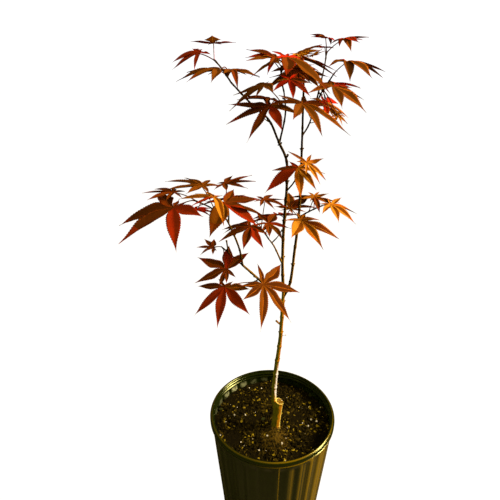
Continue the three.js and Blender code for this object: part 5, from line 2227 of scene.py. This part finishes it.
@dataclass
class Foliage:
    """All the masses of foliage, grown on from the wood by the part's own rule."""

    wood: Wood
    stem_radius: float = 0.85
    stem_tip_radius: float = 0.65
    stalk_radius: float = 0.5
    stalk_arch: float = 0.14
    stalk_root: float = 2.0
    clear_of_limbs: float = 3.5
    clearance_places: tuple = (0.0, 0.3, 0.6, 0.9)

    def __post_init__(self) -> None:
        """Gather the places on the limbs that leaves keep clear of."""
        shares = np.linspace(0, 1, 41)
        self.limb_places = np.concatenate([axis.at(shares) for axis in self.wood.axes.values()])

    def is_clear(self, blade: Blade) -> bool:
        """Tell whether a blade's middle lobe keeps clear of the limbs."""
        for share in self.clearance_places:
            spot = np.array(blade.leaf.at) + blade.ahead * share * blade.leaf.length
            if np.linalg.norm(self.limb_places - spot, axis=1).min() <= self.clear_of_limbs:
                return False
        return True

    def stalk(self, curve: Curve, blade: Blade) -> tuple[np.ndarray, np.ndarray]:
        """Make a leaf's stalk, from its swollen foot on the stem to the blade's base."""
        start = curve.at(blade.leaf.along)
        end = np.array(blade.leaf.at) + blade.ahead * self.stalk_root - blade.up * 0.5
        middle = (start + end) / 2
        middle[2] += self.stalk_arch * np.linalg.norm(end - start)
        share = np.linspace(0, 1, 18)[:, None]
        points = (1 - share) ** 2 * start + 2 * share * (1 - share) * middle + share**2 * end
        share = share[:, 0]
        radii = self.stalk_radius * (1 - 0.15 * share)
        radii = radii + 0.5 * np.exp(-((share / 0.05) ** 2)) + 0.12 * np.exp(-(((1 - share) / 0.06) ** 2))
        return tube(points, radii, 9)

    def stem(self, curve: Curve, leaves: Sequence[Leaf]) -> tuple[np.ndarray, np.ndarray]:
        """Make a shoot's stem, swollen where its stalks leave it and rounded off at its tip."""
        shares = np.linspace(0, 1, max(16, int(curve.length / 1.1)))
        radii = self.stem_radius + (self.stem_tip_radius - self.stem_radius) * shares
        for leaf in leaves:
            radii = radii + 0.22 * np.exp(-(((shares - leaf.along) * curve.length / 1.2) ** 2))
        radii = radii * np.clip((1.02 - shares) * curve.length / 1.5, 0.2, 1) ** 0.5
        return tube(curve.at(shares), radii, 12)

    def grow(self, name: str, shoot: Shoot) -> None:
        """Make and dress one mass: its leaves as one piece, its stem and stalks as another."""
        random = seeded(name)
        fine = np.random.default_rng(sum(ord(letter) for letter in name))
        curve = rooted(self.wood.axes[shoot.carrier], shoot.height, shoot.stem)
        leaves, stalks = Mesh(), Mesh()
        tints = {tint: number for number, tint in enumerate(Tint)}
        finishes = [STALK_DARK]
        stalks.add(*self.stem(curve, shoot.leaves), 0)
        for leaf in shoot.leaves:
            blade = Blade(leaf, random, fine)
            if not self.is_clear(blade):
                continue
            if leaf.stalk not in finishes:
                finishes.append(leaf.stalk)
            stalks.add(*self.stalk(curve, blade), finishes.index(leaf.stalk))
            blade.add_to(leaves, tints)
        piece = leaves.build(name.replace("foliage", "leaves"), [tint.material() for tint in Tint])
        drop_unused(piece)
        settle(piece, shoot.slot, [name])
        materials = [finish.material() for finish in finishes]
        settle(stalks.build(name.replace("foliage", "stalks"), materials), "young_bark")

    def build(self) -> None:
        """Make every mass."""
        for name, shoot in SHOOTS.items():
            self.grow(name, shoot)


def drop_unused(obj: Object) -> None:
    """Take away the material slots that no face of an object uses."""
    only(obj)
    bpy.ops.object.material_slot_remove_unused()


# The studio


@dataclass
class Studio:
    """A pale floor, soft lights and the camera at the photograph's angle."""

    camera_place: Place = (-29.4, -429.4, 607.3)
    camera_tilt: float = 25.06
    focal_pixels: float = 430.0
    picture_pixels: float = 500.0
    sensor: float = 36.0
    floor_radius: float = 9.0

    def light(self, name: str, place: Place, size: float, watts: float, colour: Colour) -> None:
        """Add a soft square light that faces the plant.

        Args:
            name: The light's name.
            place: Where it is, in metres.
            size: Its side, in metres.
            watts: Its power.
            colour: Its colour.
        """
        data = bpy.data.lights.new(name, "AREA")
        data.size = size
        data.energy = watts
        data.color = linear(colour)[:3]
        lamp = bpy.data.objects.new(name, data)
        bpy.context.scene.collection.objects.link(lamp)
        aim = np.array([0, 0, 0.35]) - np.array(place)
        lamp.location = place
        turn = math.atan2(aim[1], aim[0]) - math.pi / 2
        tilt = math.atan2(math.hypot(aim[0], aim[1]), -aim[2])
        lamp.rotation_euler = (tilt, 0, turn)

    def lights(self) -> None:
        """Add the sun-like key from the right, a weak fill and the pale surroundings."""
        key = tuple(1.5 * axis + offset for axis, offset in zip(SUN_DIRECTION, (0, 0, 0.35)))
        self.light("key", key, 0.5, 42.0, (255, 228, 205))
        self.light("top", (-0.2, -0.3, 2.0), 1.4, 3.0, (255, 226, 160))
        world = bpy.data.worlds.new("studio")
        bpy.context.scene.world = world
        world.use_nodes = True
        world.node_tree.nodes.clear()
        world.cycles.sampling_method = "NONE"
        shader = Shader(world.node_tree)
        path = shader.add("ShaderNodeLightPath").outputs
        strength = shader.maths("SUBTRACT", 0.6, shader.maths("MULTIPLY", path["Is Glossy Ray"], 0.52))
        soft = shader.add("ShaderNodeBackground", Color=linear((255, 240, 165)), Strength=strength)
        seen = shader.add("ShaderNodeBackground", Color=(1, 1, 1, 1), Strength=1.1)
        mixed = shader.add("ShaderNodeMixShader", Fac=path["Is Camera Ray"])
        shader.tree.links.new(soft.outputs[0], mixed.inputs[1])
        shader.tree.links.new(seen.outputs[0], mixed.inputs[2])
        end = shader.add("ShaderNodeOutputWorld")
        shader.tree.links.new(mixed.outputs[0], end.inputs[0])

    def floor(self) -> None:
        """Lay the pale floor."""
        deselect()
        bpy.ops.mesh.primitive_circle_add(
            vertices=96, radius=self.floor_radius, fill_type="NGON", location=(0, 0, 0)
        )
        floor = bpy.context.object
        floor.name = "studio_floor"
        floor.data.materials.append(self.paper())
        floor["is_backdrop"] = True

    def paper(self) -> bpy.types.Material:
        """Make the floor's paper: it looks white, and throws little light back at the plant."""
        finish = Finish("studio_paper", (84, 80, 62), (78, 74, 56), 0.85, 0.95, 40, 900, 0.02)
        material = finish.material()
        shader = Shader(material.node_tree)
        surface = material.node_tree.nodes["Principled BSDF"]
        ray = shader.add("ShaderNodeLightPath").outputs["Is Camera Ray"]
        shader.tree.links.new(ray, surface.inputs["Emission Strength"])
        surface.inputs["Emission Color"].default_value = (1, 1, 1, 1)
        return material

    def camera(self) -> None:
        """Add the camera where the photograph was taken from."""
        data = bpy.data.cameras.new("camera")
        data.sensor_width = self.sensor
        data.lens = self.sensor * self.focal_pixels / self.picture_pixels
        camera = bpy.data.objects.new("camera", data)
        bpy.context.scene.collection.objects.link(camera)
        camera.location = tuple(value * MM for value in self.camera_place)
        camera.rotation_euler = (math.radians(90 - self.camera_tilt), 0, 0)
        bpy.context.scene.camera = camera

    def build(self) -> None:
        """Set up the studio."""
        self.camera()
        self.lights()
        self.floor()
        bpy.context.scene.view_settings.view_transform = "Standard"


def write_size() -> None:
    """Work out the part's box and the dressed model's box; neither is kept or written."""
    boxes = {"cad": CAD_BOX, "visual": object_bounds()}
    {name: [list(corner) for corner in box] for name, box in boxes.items()}


def main() -> None:
    """Build every part of the plant in order, then the studio."""
    logging.basicConfig(level=logging.INFO, format="%(message)s")
    pot = NurseryPot()
    pot.build()
    PottingMix(pot).build()
    wood = Wood()
    wood.build()
    Foliage(wood).build()
    Studio().build()
    write_size()


if __name__ == "__main__":
    main()
